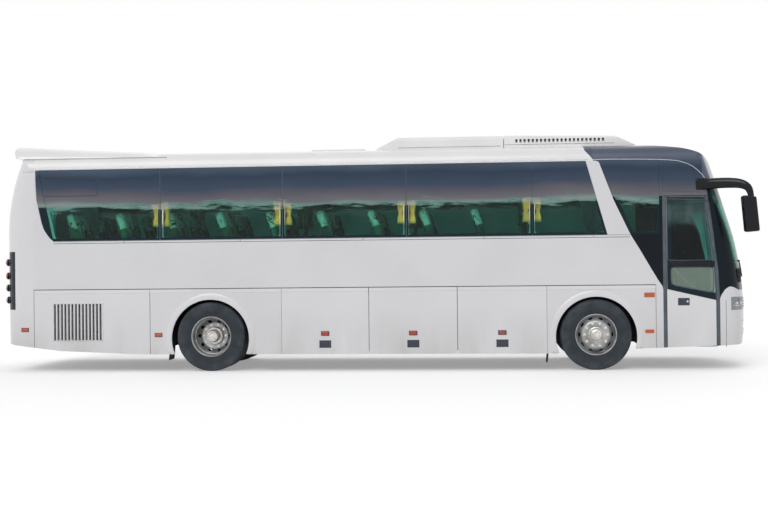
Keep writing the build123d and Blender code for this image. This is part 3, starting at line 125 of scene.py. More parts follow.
def new_finish(name, **sockets):
    """A material with values on its shader's sockets; underscores stand for spaces."""
    made = bpy.data.materials.new(name)
    made.use_nodes = True
    shader = made.node_tree.nodes["Principled BSDF"]
    for socket, value in sockets.items():
        shader.inputs[socket.replace("_", " ")].default_value = value
    FINISH[name] = made
    return made.node_tree, shader


def place_of(tree, stretch=(1, 1, 1), shift=(0, 0, 0)):
    """Object coordinates through a Mapping node."""
    return node(tree, "Mapping", "Vector", {"Scale": stretch, "Location": shift,
                                            "Vector": node(tree, "TexCoord", "Object")})


def cloud(tree, scale, detail=3.0, stretch=(1, 1, 1), rough=0.5):
    """A noise texture's grey output."""
    return node(tree, "TexNoise", "Fac", {"Scale": scale, "Detail": detail, "Roughness": rough,
                                          "Vector": place_of(tree, stretch)})


def ramp(source, stops):
    """Colours along a 0 to 1 value; stops are (position, colour)."""
    made = source.id_data.nodes.new("ShaderNodeValToRGB")
    band = made.color_ramp
    while len(band.elements) < len(stops):
        band.elements.new(0.5)
    for element, (position, colour) in zip(band.elements, stops):
        element.position = position
        element.color = colour
    feed(made.inputs["Fac"], source)
    return made.outputs["Color"]


def blended(factor, first, second):
    """A mix of two colours, each a socket or a plain colour."""
    made = factor.id_data.nodes.new("ShaderNodeMix")
    made.data_type = "RGBA"
    for name, value in (("Factor", factor), ("A", first), ("B", second)):
        feed([s for s in made.inputs if s.name == name and (s.type == "RGBA" or name == "Factor")][0], value)
    return [s for s in made.outputs if s.type == "RGBA"][0]


def spread(source, low, high, from_low=0.0, from_high=1.0):
    """A value stretched from one range to another and held at its ends."""
    return node(source.id_data, "MapRange", "Result", {
        "Value": source, "From Min": from_low, "From Max": from_high, "To Min": low, "To Max": high})


def maths(operation, first, second=None):
    """One step of arithmetic on two values."""
    tree = (first if isinstance(first, bpy.types.NodeSocket) else second).id_data
    made = tree.nodes.new("ShaderNodeMath")
    made.operation = operation
    for socket, value in zip(made.inputs, (first, second)):
        feed(socket, value)
    return made.outputs[0]


plus, minus, times, over, under = (functools.partial(maths, operation) for operation in (
    "ADD", "SUBTRACT", "MULTIPLY", "GREATER_THAN", "LESS_THAN"))


def axes_of(tree, place=None):
    """X, Y and Z of a place, or else of the Object coordinates, as three values."""
    split = tree.nodes.new("ShaderNodeSeparateXYZ")
    feed(split.inputs[0], place or node(tree, "TexCoord", "Object"))
    return split.outputs


def raised(shader, height, strength, distance=0.002):
    """A bump from a grey height."""
    feed(shader.inputs["Normal"], node(shader.id_data, "Bump", "Normal", {
        "Strength": strength, "Distance": distance, "Height": height}))


def plain_finish(name, colour, second, grain, roughs, bump=0.05, **sockets):
    """A finish whose tone drifts between two colours and whose roughness follows a finer grain."""
    tree, shader = new_finish(name, **sockets)
    fine = cloud(tree, grain * 14, 3)
    feed(shader.inputs["Base Color"], ramp(cloud(tree, grain, 4), [(0.35, colour), (0.68, second)]))
    feed(shader.inputs["Roughness"], spread(fine, *roughs, 0.3, 0.7))
    raised(shader, fine, bump)


print("node helpers ready")

# %% [markdown]
# ## Floor and light
#
# Pale paint shows its shape only if the light is soft and a little stronger from one side. A wide
# sun lamp on the camera's side, a weaker one behind and an even sky do that. The white of the
# background isn't made with more light: the floor and the sky are simply white where the camera,
# a mirror or a pane looks at them, so the paint keeps its own tone.

# %% Floor, sky and lamps
SKY_LIGHT = 0.5
FLOOR_GLOW = 0.3


def seen_white(tree, low_strength):
    """A value that is 1 for the camera, mirrors and panes, and low_strength for the light itself."""
    path = tree.nodes.new("ShaderNodeLightPath").outputs
    seen = maths("MAXIMUM", path["Is Camera Ray"], path["Is Glossy Ray"])
    return spread(maths("MAXIMUM", seen, path["Is Transmission Ray"]), low_strength, 1)


world = bpy.data.worlds.new("studio")
bpy.context.scene.world = world
world.use_nodes = True
sky = world.node_tree.nodes["Background"]
sky.inputs["Color"].default_value = (1, 1, 1, 1)
feed(sky.inputs["Strength"], seen_white(world.node_tree, SKY_LIGHT))

bpy.ops.mesh.primitive_plane_add(size=160, location=(0, 0, 0))
floor = bpy.context.object
floor.name = "studio_floor"
bpy.ops.object.transform_apply(location=True, rotation=True, scale=True)
tree, shader = new_finish("pale_floor", Base_Color=(0.86, 0.86, 0.86, 1), Roughness=0.9,
                          Emission_Color=(1, 1, 1, 1))
feed(shader.inputs["Normal"], node(tree, "Bump", "Normal", {
    "Strength": 0.02, "Height": node(tree, "TexNoise", "Fac", {"Scale": 3})}))
feed(shader.inputs["Emission Strength"], spread(seen_white(tree, 0.0), 0, FLOOR_GLOW))
floor.data.materials.append(FINISH["pale_floor"])

for name, strength, width, tilt, turn in (
        ("key_light", 1.05, 35, 50, -18), ("back_light", 0.45, 60, 50, 160)):
    bpy.ops.object.light_add(type="SUN", rotation=(math.radians(tilt), 0, math.radians(turn)))
    lamp = bpy.context.object
    lamp.name = name
    lamp.data.energy = strength
    lamp.data.angle = math.radians(width)
bpy.context.scene.view_settings.view_transform = "Standard"
print("studio: floor, sky and two lamps")

# %% [markdown]
# ## Body paint
#
# The body is clear-coated white with road dust low down. The side walls change to a dark
# blue-grey behind the slanting pillar and the door, along one bent line. That line is paint, not
# a seam, so it belongs in the material: a curve gives the boundary's X for each height, and a
# comparison picks the paint. A second mesh for the dark patch would only risk a visible step.

# %% White, dark and black paint
def dusty(tree, base, amount=0.5, dirt=tone(176, 172, 164)):
    """Lays road dust over a colour, more of it low down and in streaks."""
    height = axes_of(tree)["Z"]
    low = spread(height, 1, 0, 0.25, 0.95)
    streaks = cloud(tree, 2.2, 5, (1, 1, 0.25))
    veil = times(low, spread(streaks, 0, amount, 0.35, 0.75))
    return blended(veil, base, dirt)


def coach_paint(name, colour, second, dust=0.5, coat=0.6, roughs=(0.28, 0.36), metal=0.0):
    """Clear-coated paint with a faint orange-peel."""
    tree, shader = new_finish(name, Coat_Weight=coat, Coat_Roughness=0.06, Metallic=metal)
    drift = cloud(tree, 0.9, 4)
    base = ramp(drift, [(0.35, colour), (0.7, second)])
    feed(shader.inputs["Base Color"], dusty(tree, base, dust))
    feed(shader.inputs["Roughness"], spread(cloud(tree, 6, 4), *roughs, 0.3, 0.7))
    raised(shader, cloud(tree, 160, 2), 0.04, 0.0006)


WHITE, WHITE_SHADE = tone(228, 228, 231), tone(222, 222, 225)
DARK, DARK_SHADE = tone(66, 76, 96), tone(58, 67, 86)
coach_paint("white_paint", WHITE, WHITE_SHADE)
coach_paint("dark_paint", DARK, DARK_SHADE, 0.1, 0.6, (0.3, 0.36), 0.35)
coach_paint("black_gloss", tone(6, 12, 17), tone(11, 19, 26), 0.06, 0.15, (0.12, 0.2))
FINISH["black_gloss"].node_tree.nodes["Principled BSDF"].inputs["Specular IOR Level"].default_value = 0.2
coach_paint("roof_paint", tone(238, 238, 238), tone(231, 231, 230), 0.1)

# %% Side wall paint with the slanting boundary
BOUNDARY = [(1.1, 0.972), (1.2, 0.966), (1.228, 0.959), (1.316, 0.898), (1.462, 0.813), (1.756, 0.645),
            (1.984, 0.508), (2.49, 0.274), (3.058, 0.064), (3.082, -0.01), (3.16, -0.075), (3.23, -0.135),
            (3.34, -0.16)]
FENDER = [(1.7, 0.98), (1.765, 1.0), (1.8, 1.09), (1.85, 1.165), (1.9, 1.203), (1.94, 1.212),
          (1.99, 1.2), (2.06, 1.165), (2.3, 1.15)]


def boundary_mask(tree, line, first_axis, second_axis, first_shift=0.0, second_shift=0.0):
    """1 where the second axis lies past a bent line that is given along the first axis."""
    axes = axes_of(tree)
    firsts, seconds = [p[0] for p in line], [p[1] for p in line]
    low_a, high_a, low_b, high_b = min(firsts), max(firsts), min(seconds), max(seconds)
    curve = tree.nodes.new("ShaderNodeFloatCurve")
    track = curve.mapping.curves[0]
    spots = [((a - low_a) / (high_a - low_a), (b - low_b) / (high_b - low_b)) for a, b in line]
    while len(track.points) < len(spots):
        track.points.new(0.5, 0.5)
    for point, spot in zip(track.points, spots):
        point.location = spot
        point.handle_type = "VECTOR"
    curve.mapping.update()
    along = spread(axes[first_axis], 0, 1, low_a + first_shift, high_a + first_shift)
    feed(curve.inputs["Value"], along)
    edge = spread(curve.outputs[0], low_b + second_shift, high_b + second_shift)
    return over(axes[second_axis], edge)


def two_tone(name, light, light_shade, dark, dark_shade, mask_of, coat=0.3, gloss=0.35, band=None):
    """Paint in two tones, split by a mask; a band given for the dark tone is laid above 2.545 m as a painted
    sky reflection.
    """
    tree, shader = new_finish(name, Coat_Weight=coat, Coat_Roughness=0.06, Specular_IOR_Level=gloss)
    drift = cloud(tree, 0.9, 4)
    white = dusty(tree, ramp(drift, [(0.35, light), (0.7, light_shade)]))
    deep = ramp(drift, [(0.35, dark), (0.7, dark_shade)])
    # Above 2.545 m the dark tone takes the band's wavy streaks: a painted reflection of the sky.
    if band:
        waves = cloud(tree, 0.7, 3, (1, 1, 3))
        wavy = plus(axes_of(tree)["Z"], spread(waves, -0.05, 0.05, 0.3, 0.7))
        streak = ramp(spread(wavy, 0, 1, 2.5, 3.08), band)
        deep = blended(over(axes_of(tree)["Z"], 2.545), deep, streak)
    feed(shader.inputs["Base Color"], blended(mask_of(tree), white, deep))
    feed(shader.inputs["Roughness"], spread(cloud(tree, 6, 4), 0.27, 0.36, 0.3, 0.7))
    raised(shader, cloud(tree, 160, 2), 0.04, 0.0006)


def wall_mask(tree):
    """Ahead of the slanting line and above the belt."""
    ahead_of = boundary_mask(tree, BOUNDARY, "Z", "X", 0, FRONT_X)
    return times(ahead_of, over(axes_of(tree)["Z"], 1.19))


def nose_mask(tree):
    """Above the fender's round line."""
    return boundary_mask(tree, FENDER, "X", "Z", FRONT_X, 0)


# Slate colours with lighter level streaks, for the upper glass and the dark wall patch: a painted reflection
# of the sky.
SKY_REFLECTION_BAND = [(0.0, tone(134, 150, 146)), (0.1, tone(112, 114, 120)), (0.3, tone(96, 94, 104)),
              (0.48, tone(62, 76, 96)), (0.78, tone(48, 64, 84)), (1.0, tone(76, 90, 108))]
# The dark patch's upper part takes the slate band: a painted sky reflection.
two_tone("side_paint", WHITE, WHITE_SHADE, tone(10, 20, 29), tone(6, 16, 23), wall_mask, 0.05, 0.15,
         SKY_REFLECTION_BAND)
two_tone("roof_two_tone", tone(238, 238, 238), tone(231, 231, 230), DARK, DARK_SHADE, wall_mask)
two_tone("nose_paint", WHITE, WHITE_SHADE, tone(4, 16, 26), tone(8, 22, 32), nose_mask, 0.05, 0.15)
print("finishes so far:", ", ".join(FINISH))

# %% [markdown]
# ## Glass
#
# Coach side glass is tinted and has a darker band across its upper half, so passengers aren't
# dazzled. From outside the band is slate with soft level streaks; that colour and those streaks are
# a painted reflection of the sky. Below it one sees a green dusk with the seats in it, and the far
# pane is tinted darker as painted shade. Painted sunlight on the curtains and a painted reflection
# of the road on the door's lower window are laid into the colour as well. A pane this thin doesn't
# bend the view, so the shader transmits with an index close to air, takes its colour twice, going
# in and coming out, and keeps a light coat.

# %% Side, front and door glass
def shaded_glass(name, band, break_z, low, low_streak, soft=0.05, cover=1.0, far=None, border=None,
                 painted_light_mask=None, veil=0.0, light=(0.92, 0.97, 0.74, 1)):
    """Tinted pane: a band above break_z whose colour and level streaks are a painted sky reflection on
    the side, rear and door panes, a clear tint below it, maybe painted light or a darker far pane as
    painted shade, maybe a printed border.
    """
    tree, shader = new_finish(name, Roughness=0.02, IOR=1.02, Coat_Weight=0.35, Coat_Roughness=0.02)
    axes = axes_of(tree)
    ragged = cloud(tree, 1.6, 5, (1, 1, 6), 0.62)
    edge = plus(axes["Z"], spread(ragged, -0.09, 0.09, 0.3, 0.7))
    above = spread(edge, 0, 1, break_z - soft, break_z + soft)
    wavy = plus(axes["Z"], spread(cloud(tree, 0.7, 3, (1, 1, 3)), -0.05, 0.05, 0.3, 0.7))
    # On the side, rear and door panes the band's colours and wavy level streaks are a painted reflection of
    # the sky.
    streak = ramp(spread(wavy, 0, 1, break_z, 3.08), band)
    deep = ramp(cloud(tree, 5, 4, (1, 1, 0.35)), [(0.42, low), (0.72, low_streak)])
    # Painted shade: the far (left) pane takes a darker tint, so the view through the cabin reads dim.
    if far:
        deep = blended(over(axes["Y"], 0), deep, far)
    clear = spread(above, 1, 1 - cover)
    # Painted light: where the mask says, a pale colour is laid into the tint and the pane is made less clear,
    # for sunlight on the curtains or the bright road's reflection on the door.
    if painted_light_mask:
        painted_lit = painted_light_mask(axes)
        deep = blended(painted_lit, deep, light)
        clear = times(clear, spread(painted_lit, 1, 1 - veil))
    colour = blended(above, deep, streak)
    if border:
        inside = border(axes)
        colour = blended(maths("MAXIMUM", inside, above), BORDER_PRINT, colour)
        clear = times(clear, inside)
    feed(shader.inputs["Base Color"], colour)
    feed(shader.inputs["Transmission Weight"], clear)
    raised(shader, cloud(tree, 1.2, 1), 0.02, 0.002)


BORDER_PRINT = tone(12, 36, 46)
BORDER_WIDTH = 0.04
WINDOW_DIVIDERS = (-6.5, -4.63, -2.77, -0.915)


def side_windows(axes):
    """1 inside the clear side windows, 0 in the dark print at their edges."""
    ahead = minus(axes["X"], FRONT_X)
    inside = over(axes["Z"], 1.985 + BORDER_WIDTH)
    for divider in WINDOW_DIVIDERS:
        apart = maths("ABSOLUTE", minus(ahead, divider))
        inside = times(inside, over(apart, BORDER_WIDTH * 0.75))
    slash_middle = plus(ahead, times(axes["Z"], 0.3417))
    from_slash = maths("ABSOLUTE", minus(slash_middle, 1.0213))
    slash_half = spread(axes["Z"], 0.165 + BORDER_WIDTH, 0.094 + BORDER_WIDTH, 1.985, 3.075)
    inside = times(inside, over(from_slash, slash_half))
    rear_edge = plus(ahead, times(axes["Z"], 0.2202))
    inside = times(inside, over(rear_edge, -7.723))
    return times(inside, under(ahead, 0.93 - BORDER_WIDTH))


def painted_sun_on_curtains(axes):
    """1 on the right side where painted sunlight falls on the curtains beside the dividers, fading to 0."""
    ahead = minus(axes["X"], FRONT_X)
    near = under(axes["Y"], 0)
    tall = times(spread(axes["Z"], 0, 1, 2.16, 2.24), spread(axes["Z"], 1, 0, 2.62, 2.7))
    painted_lit = None
    for divider in WINDOW_DIVIDERS:
        apart = maths("ABSOLUTE", minus(ahead, divider))
        band = spread(apart, 1, 0, 0.115, 0.15)
        painted_lit = maths("MAXIMUM", painted_lit, band) if painted_lit else band
    return times(times(painted_lit, tall), near)


def nowhere(axes):
    """0 all over: a pane that is printed from edge to edge."""
    return times(axes["Z"], 0)


# A near-black green tint; on the far pane it is painted shade for the dim view through the cabin.
PAINTED_SHADE_TINT = (0.007, 0.048, 0.041, 1)
# The door pane's band lightens towards the top: a painted reflection of the sky.
DOOR_SKY_REFLECTION_BAND = [(0.0, tone(10, 26, 30)), (0.5, tone(12, 30, 34)), (1.0, tone(60, 84, 86))]
FRONT_BAND = [(0.0, tone(16, 60, 56)), (1.0, tone(10, 40, 42))]


def door_windows(axes):
    """1 inside the two clear windows of the door leaf, 0 in the printed border round them."""
    ahead = minus(axes["X"], FRONT_X)
    front = under(plus(ahead, times(axes["Z"], 0.075)), 1.822)
    sides = times(over(ahead, 1.088), front)
    upper = times(over(axes["Z"], 1.6), under(axes["Z"], 2.44))
    foot = over(plus(axes["Z"], times(ahead, 0.203)), 1.472)
    lower = times(foot, under(axes["Z"], 1.49))
    return times(sides, plus(upper, lower))


def painted_road_reflection(axes):
    """1 over the lower window of the door, where a painted reflection of the bright road is laid."""
    return under(axes["Z"], 1.49)


# The far pane is tinted darker as painted shade, and the near pane carries painted sunlight on the curtains.
shaded_glass("side_pane", SKY_REFLECTION_BAND, 2.5, (0.26, 0.58, 0.5, 1), (0.38, 0.74, 0.64, 1), far=PAINTED_SHADE_TINT,
             border=side_windows, painted_light_mask=painted_sun_on_curtains)
shaded_glass("sweep_pane", SKY_REFLECTION_BAND, 2.5, PAINTED_SHADE_TINT, PAINTED_SHADE_TINT, border=nowhere)
shaded_glass("rear_pane", SKY_REFLECTION_BAND, 2.62, (0.06, 0.18, 0.17, 1), (0.1, 0.26, 0.23, 1))
# The door pane's lower window carries a painted reflection of the road.
shaded_glass("door_pane", DOOR_SKY_REFLECTION_BAND, 2.3, (0.16, 0.3, 0.3, 1), (0.32, 0.5, 0.48, 1), 0.25, 0.75,
             border=door_windows, painted_light_mask=painted_road_reflection, veil=0.3, light=(0.42, 0.53, 0.46, 1))
shaded_glass("front_pane", FRONT_BAND, 2.5, (0.1, 0.36, 0.3, 1), (0.18, 0.5, 0.42, 1), 0.1, 0.7)
print("glass: side, rear, door and front panes")

# %% [markdown]
# ## Rubber, steel, plastic and lining
#
# The smaller finishes share one recipe and differ in tone, grain and gloss: tyre rubber is dusty
# and matt, wheel steel is silver paint gone dull, the chassis is satin black under road dirt.

# %% Small finishes
FINISHES = {
    "tyre_rubber": ((42, 49, 56), (62, 69, 76), 9, (0.72, 0.9), 0.2),
    "seal_rubber": ((70, 80, 90), (84, 94, 104), 6, (0.5, 0.65), 0.08),
    "black_rubber": ((22, 25, 28), (32, 35, 38), 8, (0.6, 0.8), 0.15),
    "wheel_steel": ((184, 186, 188), (142, 142, 140), 7, (0.25, 0.42), 0.12, {"Metallic": 0.75}),
    "nut_steel": ((236, 236, 234), (196, 192, 186), 30, (0.15, 0.3), 0.2, {"Metallic": 0.8}),
    "hub_steel": ((226, 225, 222), (176, 170, 162), 12, (0.18, 0.36), 0.25, {"Metallic": 0.75}),
    "chassis_paint": ((26, 27, 29), (48, 46, 43), 5, (0.5, 0.8), 0.3),
    "cast_iron": ((62, 60, 58), (84, 76, 68), 11, (0.6, 0.85), 0.5),
    "floor_cover": ((92, 94, 98), (80, 82, 86), 20, (0.6, 0.8), 0.2),
    "lining": ((150, 154, 150), (138, 142, 138), 3, (0.5, 0.65), 0.08),
    "dash_plastic": ((64, 74, 76), (52, 60, 64), 18, (0.5, 0.7), 0.3),
    "tray_teal": ((24, 150, 150), (30, 128, 132), 6, (0.3, 0.45), 0.05),
    "trim_silver": ((206, 210, 214), (188, 192, 198), 9, (0.2, 0.3), 0.03, {"Metallic": 0.8}),
    "unit_plastic": ((242, 242, 243), (233, 233, 233), 1.3, (0.35, 0.5), 0.08),
    "lamp_red": ((122, 16, 18), (148, 24, 22), 40, (0.08, 0.14), 0.1, {"Coat_Weight": 1.0}),
    "lamp_amber": ((206, 92, 18), (178, 66, 16), 60, (0.1, 0.18), 0.15, {"Coat_Weight": 0.3}),
    "lamp_orange": ((196, 62, 20), (150, 44, 16), 60, (0.1, 0.18), 0.15, {"Coat_Weight": 0.3}),
    "lamp_smoke": ((18, 25, 36), (27, 35, 48), 30, (0.1, 0.16), 0.1,
                   {"Coat_Weight": 0.2, "Specular_IOR_Level": 0.25}),
    "lamp_grey": ((96, 108, 122), (120, 132, 146), 50, (0.06, 0.1), 0.05, {"Coat_Weight": 0.6}),
    "lamp_lens": ((222, 228, 232), (206, 214, 220), 50, (0.04, 0.08), 0.05,
                  {"Coat_Weight": 1.0, "Alpha": 0.25}),
    "reflector": ((226, 228, 230), (196, 198, 200), 25, (0.08, 0.16), 0.05, {"Metallic": 1.0}),
    "mirror_glass": ((210, 216, 220), (200, 208, 214), 4, (0.01, 0.03), 0.01, {"Metallic": 1.0}),
    "latch_black": ((44, 50, 62), (54, 60, 72), 40, (0.3, 0.45), 0.1),
}
for name, (first, second, grain, roughs, bump, *own) in FINISHES.items():
    plain_finish(name, tone(*first), tone(*second), grain, roughs, bump, **(own[0] if own else {}))
print("small finishes:", len(FINISHES))

# %% [markdown]
# ## Finishes on the frame's own parts
#
# Every part that stays as it is gets its finish in its own material slots. A table of part name
# to finish is easier to read and to mend than one line of code for each.

# %% Dress the frame
BAY_DOORS = [f"bay_door_{side}_{number}" for side in ("right", "left") for number in (1, 2, 3)]
DRESS = {
    "side_paint": "side_wall_right side_wall_left",
    "roof_two_tone": "roof",
    "roof_paint": "roof_hatch rear_spoiler",
    "dark_paint": "roof_front",
    "nose_paint": "front_mask front_bumper",
    "white_paint": " ".join(["rear_cap", "engine_door", "rear_flap_right", "rear_flap_left", "passenger_door",
                             *BAY_DOORS]),
    "black_gloss": "mirror_right mirror_left",
    "side_pane": "side_glass", "door_pane": "door_glass",
    "front_pane": "windscreen", "rear_pane": "rear_window",
    "lamp_lens": "headlamps", "lamp_smoke": "tail_lamps", "lamp_orange": "marker_lamps",
    "unit_plastic": "ac_rear ac_front",
    "seal_rubber": "door_seals",
    "black_rubber": "steering_wheel wipers",
    "chassis_paint": "door_column luggage_bays chassis_frame wheel_housings",
    "cast_iron": "front_axle knuckle_right knuckle_left rear_axle engine",
    "wheel_steel": "rim_front_right rim_front_left rims_rear_right rims_rear_left",
    "tyre_rubber": "tyre_front_right tyre_front_left tyres_rear_right tyres_rear_left",
    "floor_cover": "saloon_floor driver_platform",
    "lining": "passenger_seats driver_seat luggage_racks curtains",
    "dash_plastic": "dashboard",
}
for name, parts in DRESS.items():
    for part in parts.split():
        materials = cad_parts[part].data.materials
        materials.clear()
        materials.append(FINISH[name])
print("dressed the parts with", len(DRESS), "finishes")

# %% [markdown]
# ## Tools for modelling
#
# New pieces are built as one would by hand: a primitive at its size and place, then extrude,
# resize, bevel and boolean. Round pieces such as tyres and caps start as a circle that is
# extruded and resized ring by ring; a list of rings is quicker to correct than a sculpted mesh.

# %% Modelling helpers
def take(piece=None):
    """Leaves edit mode, deselects everything and takes up one piece."""
    if bpy.context.object and bpy.context.object.mode != "OBJECT":
        bpy.ops.object.mode_set(mode="OBJECT")
    bpy.ops.object.select_all(action="DESELECT")
    if piece:
        piece.select_set(True)
        bpy.context.view_layer.objects.active = piece
    return piece


def settle(name, angle=40):
    """Puts the active object's place into its mesh, names it and smooths its gentle edges."""
    piece = bpy.context.object
    bpy.ops.object.transform_apply(location=True, rotation=True, scale=True)
    piece.name = piece.data.name = name
    bpy.ops.object.shade_smooth_by_angle(angle=math.radians(angle))
    return piece


def applied(piece, kind, name, **settings):
    """Adds one modifier, sets it and applies it."""
    take(piece)
    modifier = piece.modifiers.new(name, kind)
    for key, value in settings.items():
        setattr(modifier, key, value)
    bpy.ops.object.modifier_apply(modifier=modifier.name)
    return piece


def soften(piece, width, segments=2, angle=35):
    """Rounds every edge sharper than the angle."""
    applied(piece, "BEVEL", "soft_edges", width=width, segments=segments, limit_method="ANGLE",
            angle_limit=math.radians(angle))
    bpy.ops.object.shade_smooth_by_angle(angle=math.radians(40))
    return piece


def slab(name, low, high, bevel=0.0, segments=2):
    """A block between two corners with rounded edges."""
    take()
    bpy.ops.mesh.primitive_cube_add(size=1, location=[(a + b) / 2 for a, b in zip(low, high)],
                                    scale=[b - a for a, b in zip(low, high)])
    piece = settle(name)
    return soften(piece, bevel, segments) if bevel else piece


def turned(name, rings, steps=48, at=(0, 0, 0), turn=(0, 0, 0), angle=40):
    """A round piece made ring by ring along Z from (height, radius) pairs, then laid in place."""
    take()
    height, radius = rings[0]
    bpy.ops.mesh.primitive_circle_add(vertices=steps, radius=radius, location=(0, 0, height))
    piece = bpy.context.object
    bpy.ops.object.transform_apply(location=True, rotation=True, scale=True)
    bpy.ops.object.mode_set(mode="EDIT")
    bpy.ops.mesh.select_all(action="SELECT")
    for next_height, next_radius in rings[1:]:
        bpy.ops.mesh.extrude_region_move(TRANSFORM_OT_translate={"value": (0, 0, next_height - height)})
        if next_radius == 0:
            bpy.ops.mesh.merge(type="CENTER")
        else:
            share = next_radius / radius
            bpy.ops.transform.resize(value=(share, share, 1), center_override=(0, 0, next_height))
        height, radius = next_height, next_radius
    bpy.ops.mesh.select_all(action="SELECT")
    bpy.ops.mesh.remove_doubles(threshold=0.00005)
    bpy.ops.mesh.normals_make_consistent(inside=False)
    bpy.ops.object.mode_set(mode="OBJECT")
    piece.rotation_euler = turn
    piece.location = at
    return settle(name, angle)


def copy_of(piece, name, change):
    """A copy with its own mesh, moved by a matrix or by a plain offset."""
    made = piece.copy()
    made.data = piece.data.copy()
    made.name = made.data.name = name
    bpy.context.scene.collection.objects.link(made)
    made.data.transform(change if isinstance(change, Matrix) else Matrix.Translation(change))
    return made


def mirrored(piece, name):
    """The same piece on the coach's other side, with its faces still pointing out."""
    made = copy_of(piece, name, Matrix.Scale(-1, 4, (0, 1, 0)))
    made.data.flip_normals()
    return made


def moved(piece, x, y, z):
    """Shifts a piece's mesh."""
    piece.data.transform(Matrix.Translation((x, y, z)))
    return piece


def to_side(piece, sign, y):
    """Brings a piece that is modelled for the left side, round Y = 0, to its own side."""
    if sign < 0:
        piece.data.transform(Matrix.Scale(-1, 4, (0, 1, 0)))
        piece.data.flip_normals()
    return moved(piece, 0, y, 0)


def edited(piece, *steps):
    """Runs mesh operators in edit mode, each on the whole piece."""
    take(piece)
    bpy.ops.object.mode_set(mode="EDIT")
    for step in steps:
        bpy.ops.mesh.select_all(action="SELECT")
        step()
    bpy.ops.object.mode_set(mode="OBJECT")
    return piece


def cut_at(place, way=(0, 0, 1), **settings):
    """A step for edited: a cut along a plane."""
    return functools.partial(bpy.ops.mesh.bisect, plane_co=place, plane_no=way, **settings)


face_out = functools.partial(bpy.ops.mesh.normals_make_consistent, inside=False)


def joined(name, pieces):
    """Several pieces as one."""
    take(pieces[0])
    for piece in pieces:
        piece.select_set(True)
    bpy.ops.object.join()
    made = bpy.context.object
    made.name = made.data.name = name
    return made


def fitted(piece, body, finish):
    """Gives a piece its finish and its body."""
    piece.data.materials.clear()
    piece.data.materials.append(FINISH[finish])
    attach(piece, body)
    return piece


def spun(count, radius, piece, name):
    """Copies of a piece round the Z axis, joined."""
    ring = [copy_of(piece, f"{name}_{n}", Matrix.Rotation(math.tau * n / count, 4, "Z")
                    @ Matrix.Translation((radius, 0, 0))) for n in range(count)]
    bpy.data.objects.remove(piece)
    return joined(name, ring)


print("modelling helpers ready")

# %% [markdown]
# ## Tyres
#
# A coach tyre has a ribbed crown, a square shoulder and a wall with shallow moulded rings. The
# frame's tyre is a plain band, so a treaded one stands in for it. The ribs are real rings in the
# outline; the cross cuts of the tread and the fine rings on the wall are small enough for bump, and
# the cuts are coloured darker as painted shade.

# %% Tyre rubber with cross cuts and wall rings
def tyre_finish(name, centre_x):
    """Rubber whose pattern runs round one axle."""
    tree, shader = new_finish(name, Roughness=0.85)
    axes = axes_of(tree, place_of(tree, shift=(-centre_x, 0, -AXLE_Z)))
    angle = maths("ARCTAN2", axes["Z"], axes["X"])
    reach = maths("SQRT", plus(maths("POWER", axes["X"], 2), maths("POWER", axes["Z"], 2)))
    slant = plus(times(angle, 76), times(axes["Y"], 60))
    cuts = over(maths("SINE", slant), -0.82)
    crown = over(reach, 0.5)
    cut_height = maths("MAXIMUM", cuts, minus(1, crown))
    rings = maths("SINE", times(reach, 420))
    wall_height = times(rings, times(minus(1, crown), 0.12))
    height = plus(plus(cut_height, wall_height), times(cloud(tree, 60, 3), 0.25))
    raised(shader, height, 0.8, 0.006)
    dust = times(spread(cloud(tree, 7, 5), 0.2, 1, 0.35, 0.7), spread(reach, 0.25, 1, 0.36, 0.5))
    # Painted shade: the cross cuts of the tread are coloured darker than the blocks.
    deep = blended(cut_height, tone(20, 22, 24), tone(38, 45, 52))
    feed(shader.inputs["Base Color"], blended(dust, deep, tone(76, 83, 90)))


tyre_finish("tyre_rubber_front", FRONT_X)
tyre_finish("tyre_rubber_rear", REAR_X)
print("tyre finishes for both axles")

# %% Treaded tyre and its six places
HALF_TYRE = [(0.1075, 0.2885), (0.118, 0.296), (0.129, 0.318), (0.1345, 0.345), (0.1385, 0.375),
             (0.1395, 0.379), (0.1395, 0.385), (0.1385, 0.389), (0.1398, 0.42), (0.1385, 0.455),
             (0.1395, 0.459), (0.1395, 0.466), (0.1365, 0.471), (0.1345, 0.49), (0.133, 0.503),
             (0.127, 0.5125), (0.118, 0.518), (0.083, 0.521), (0.08, 0.507), (0.069, 0.507),
             (0.066, 0.5216), (0.032, 0.522), (0.029, 0.507), (0.018, 0.507), (0.015, 0.522)]
TYRE_HALF, TRACK_Y, INNER_Y = 0.14, 1.075, 0.75


def outer_middle(label, sign):
    """Y of the middle of a side's outer tyre."""
    low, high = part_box(label)
    return low.y + TYRE_HALF if sign < 0 else high.y - TYRE_HALF


tyre_rings = HALF_TYRE + [(-z, r) for z, r in reversed(HALF_TYRE)] + HALF_TYRE[:1]
pattern_tyre = turned("tyre_pattern", tyre_rings, 96, turn=(math.radians(90), 0, 0))
for tyres, wheels, rubber, x, tracks in (
        ("tyre_front_", "wheel_front_", "tyre_rubber_front", FRONT_X, (TRACK_Y,)),
        ("tyres_rear_", "wheels_rear_", "tyre_rubber_rear", REAR_X, (TRACK_Y, INNER_Y))):
    for side, sign in SIDES:
        label = tyres + side
        shift = outer_middle(label, sign) - sign * TRACK_Y
        copies = [copy_of(pattern_tyre, f"{label}_{n}", (x, sign * y + shift, AXLE_Z))
                  for n, y in enumerate(tracks)]
        worn = joined(label + "_treaded", copies)
        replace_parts(fitted(worn, wheels + side, rubber), label)
bpy.data.objects.remove(pattern_tyre)
print("tyres: 6 treaded, each of", len(tyre_rings) * 96, "faces")

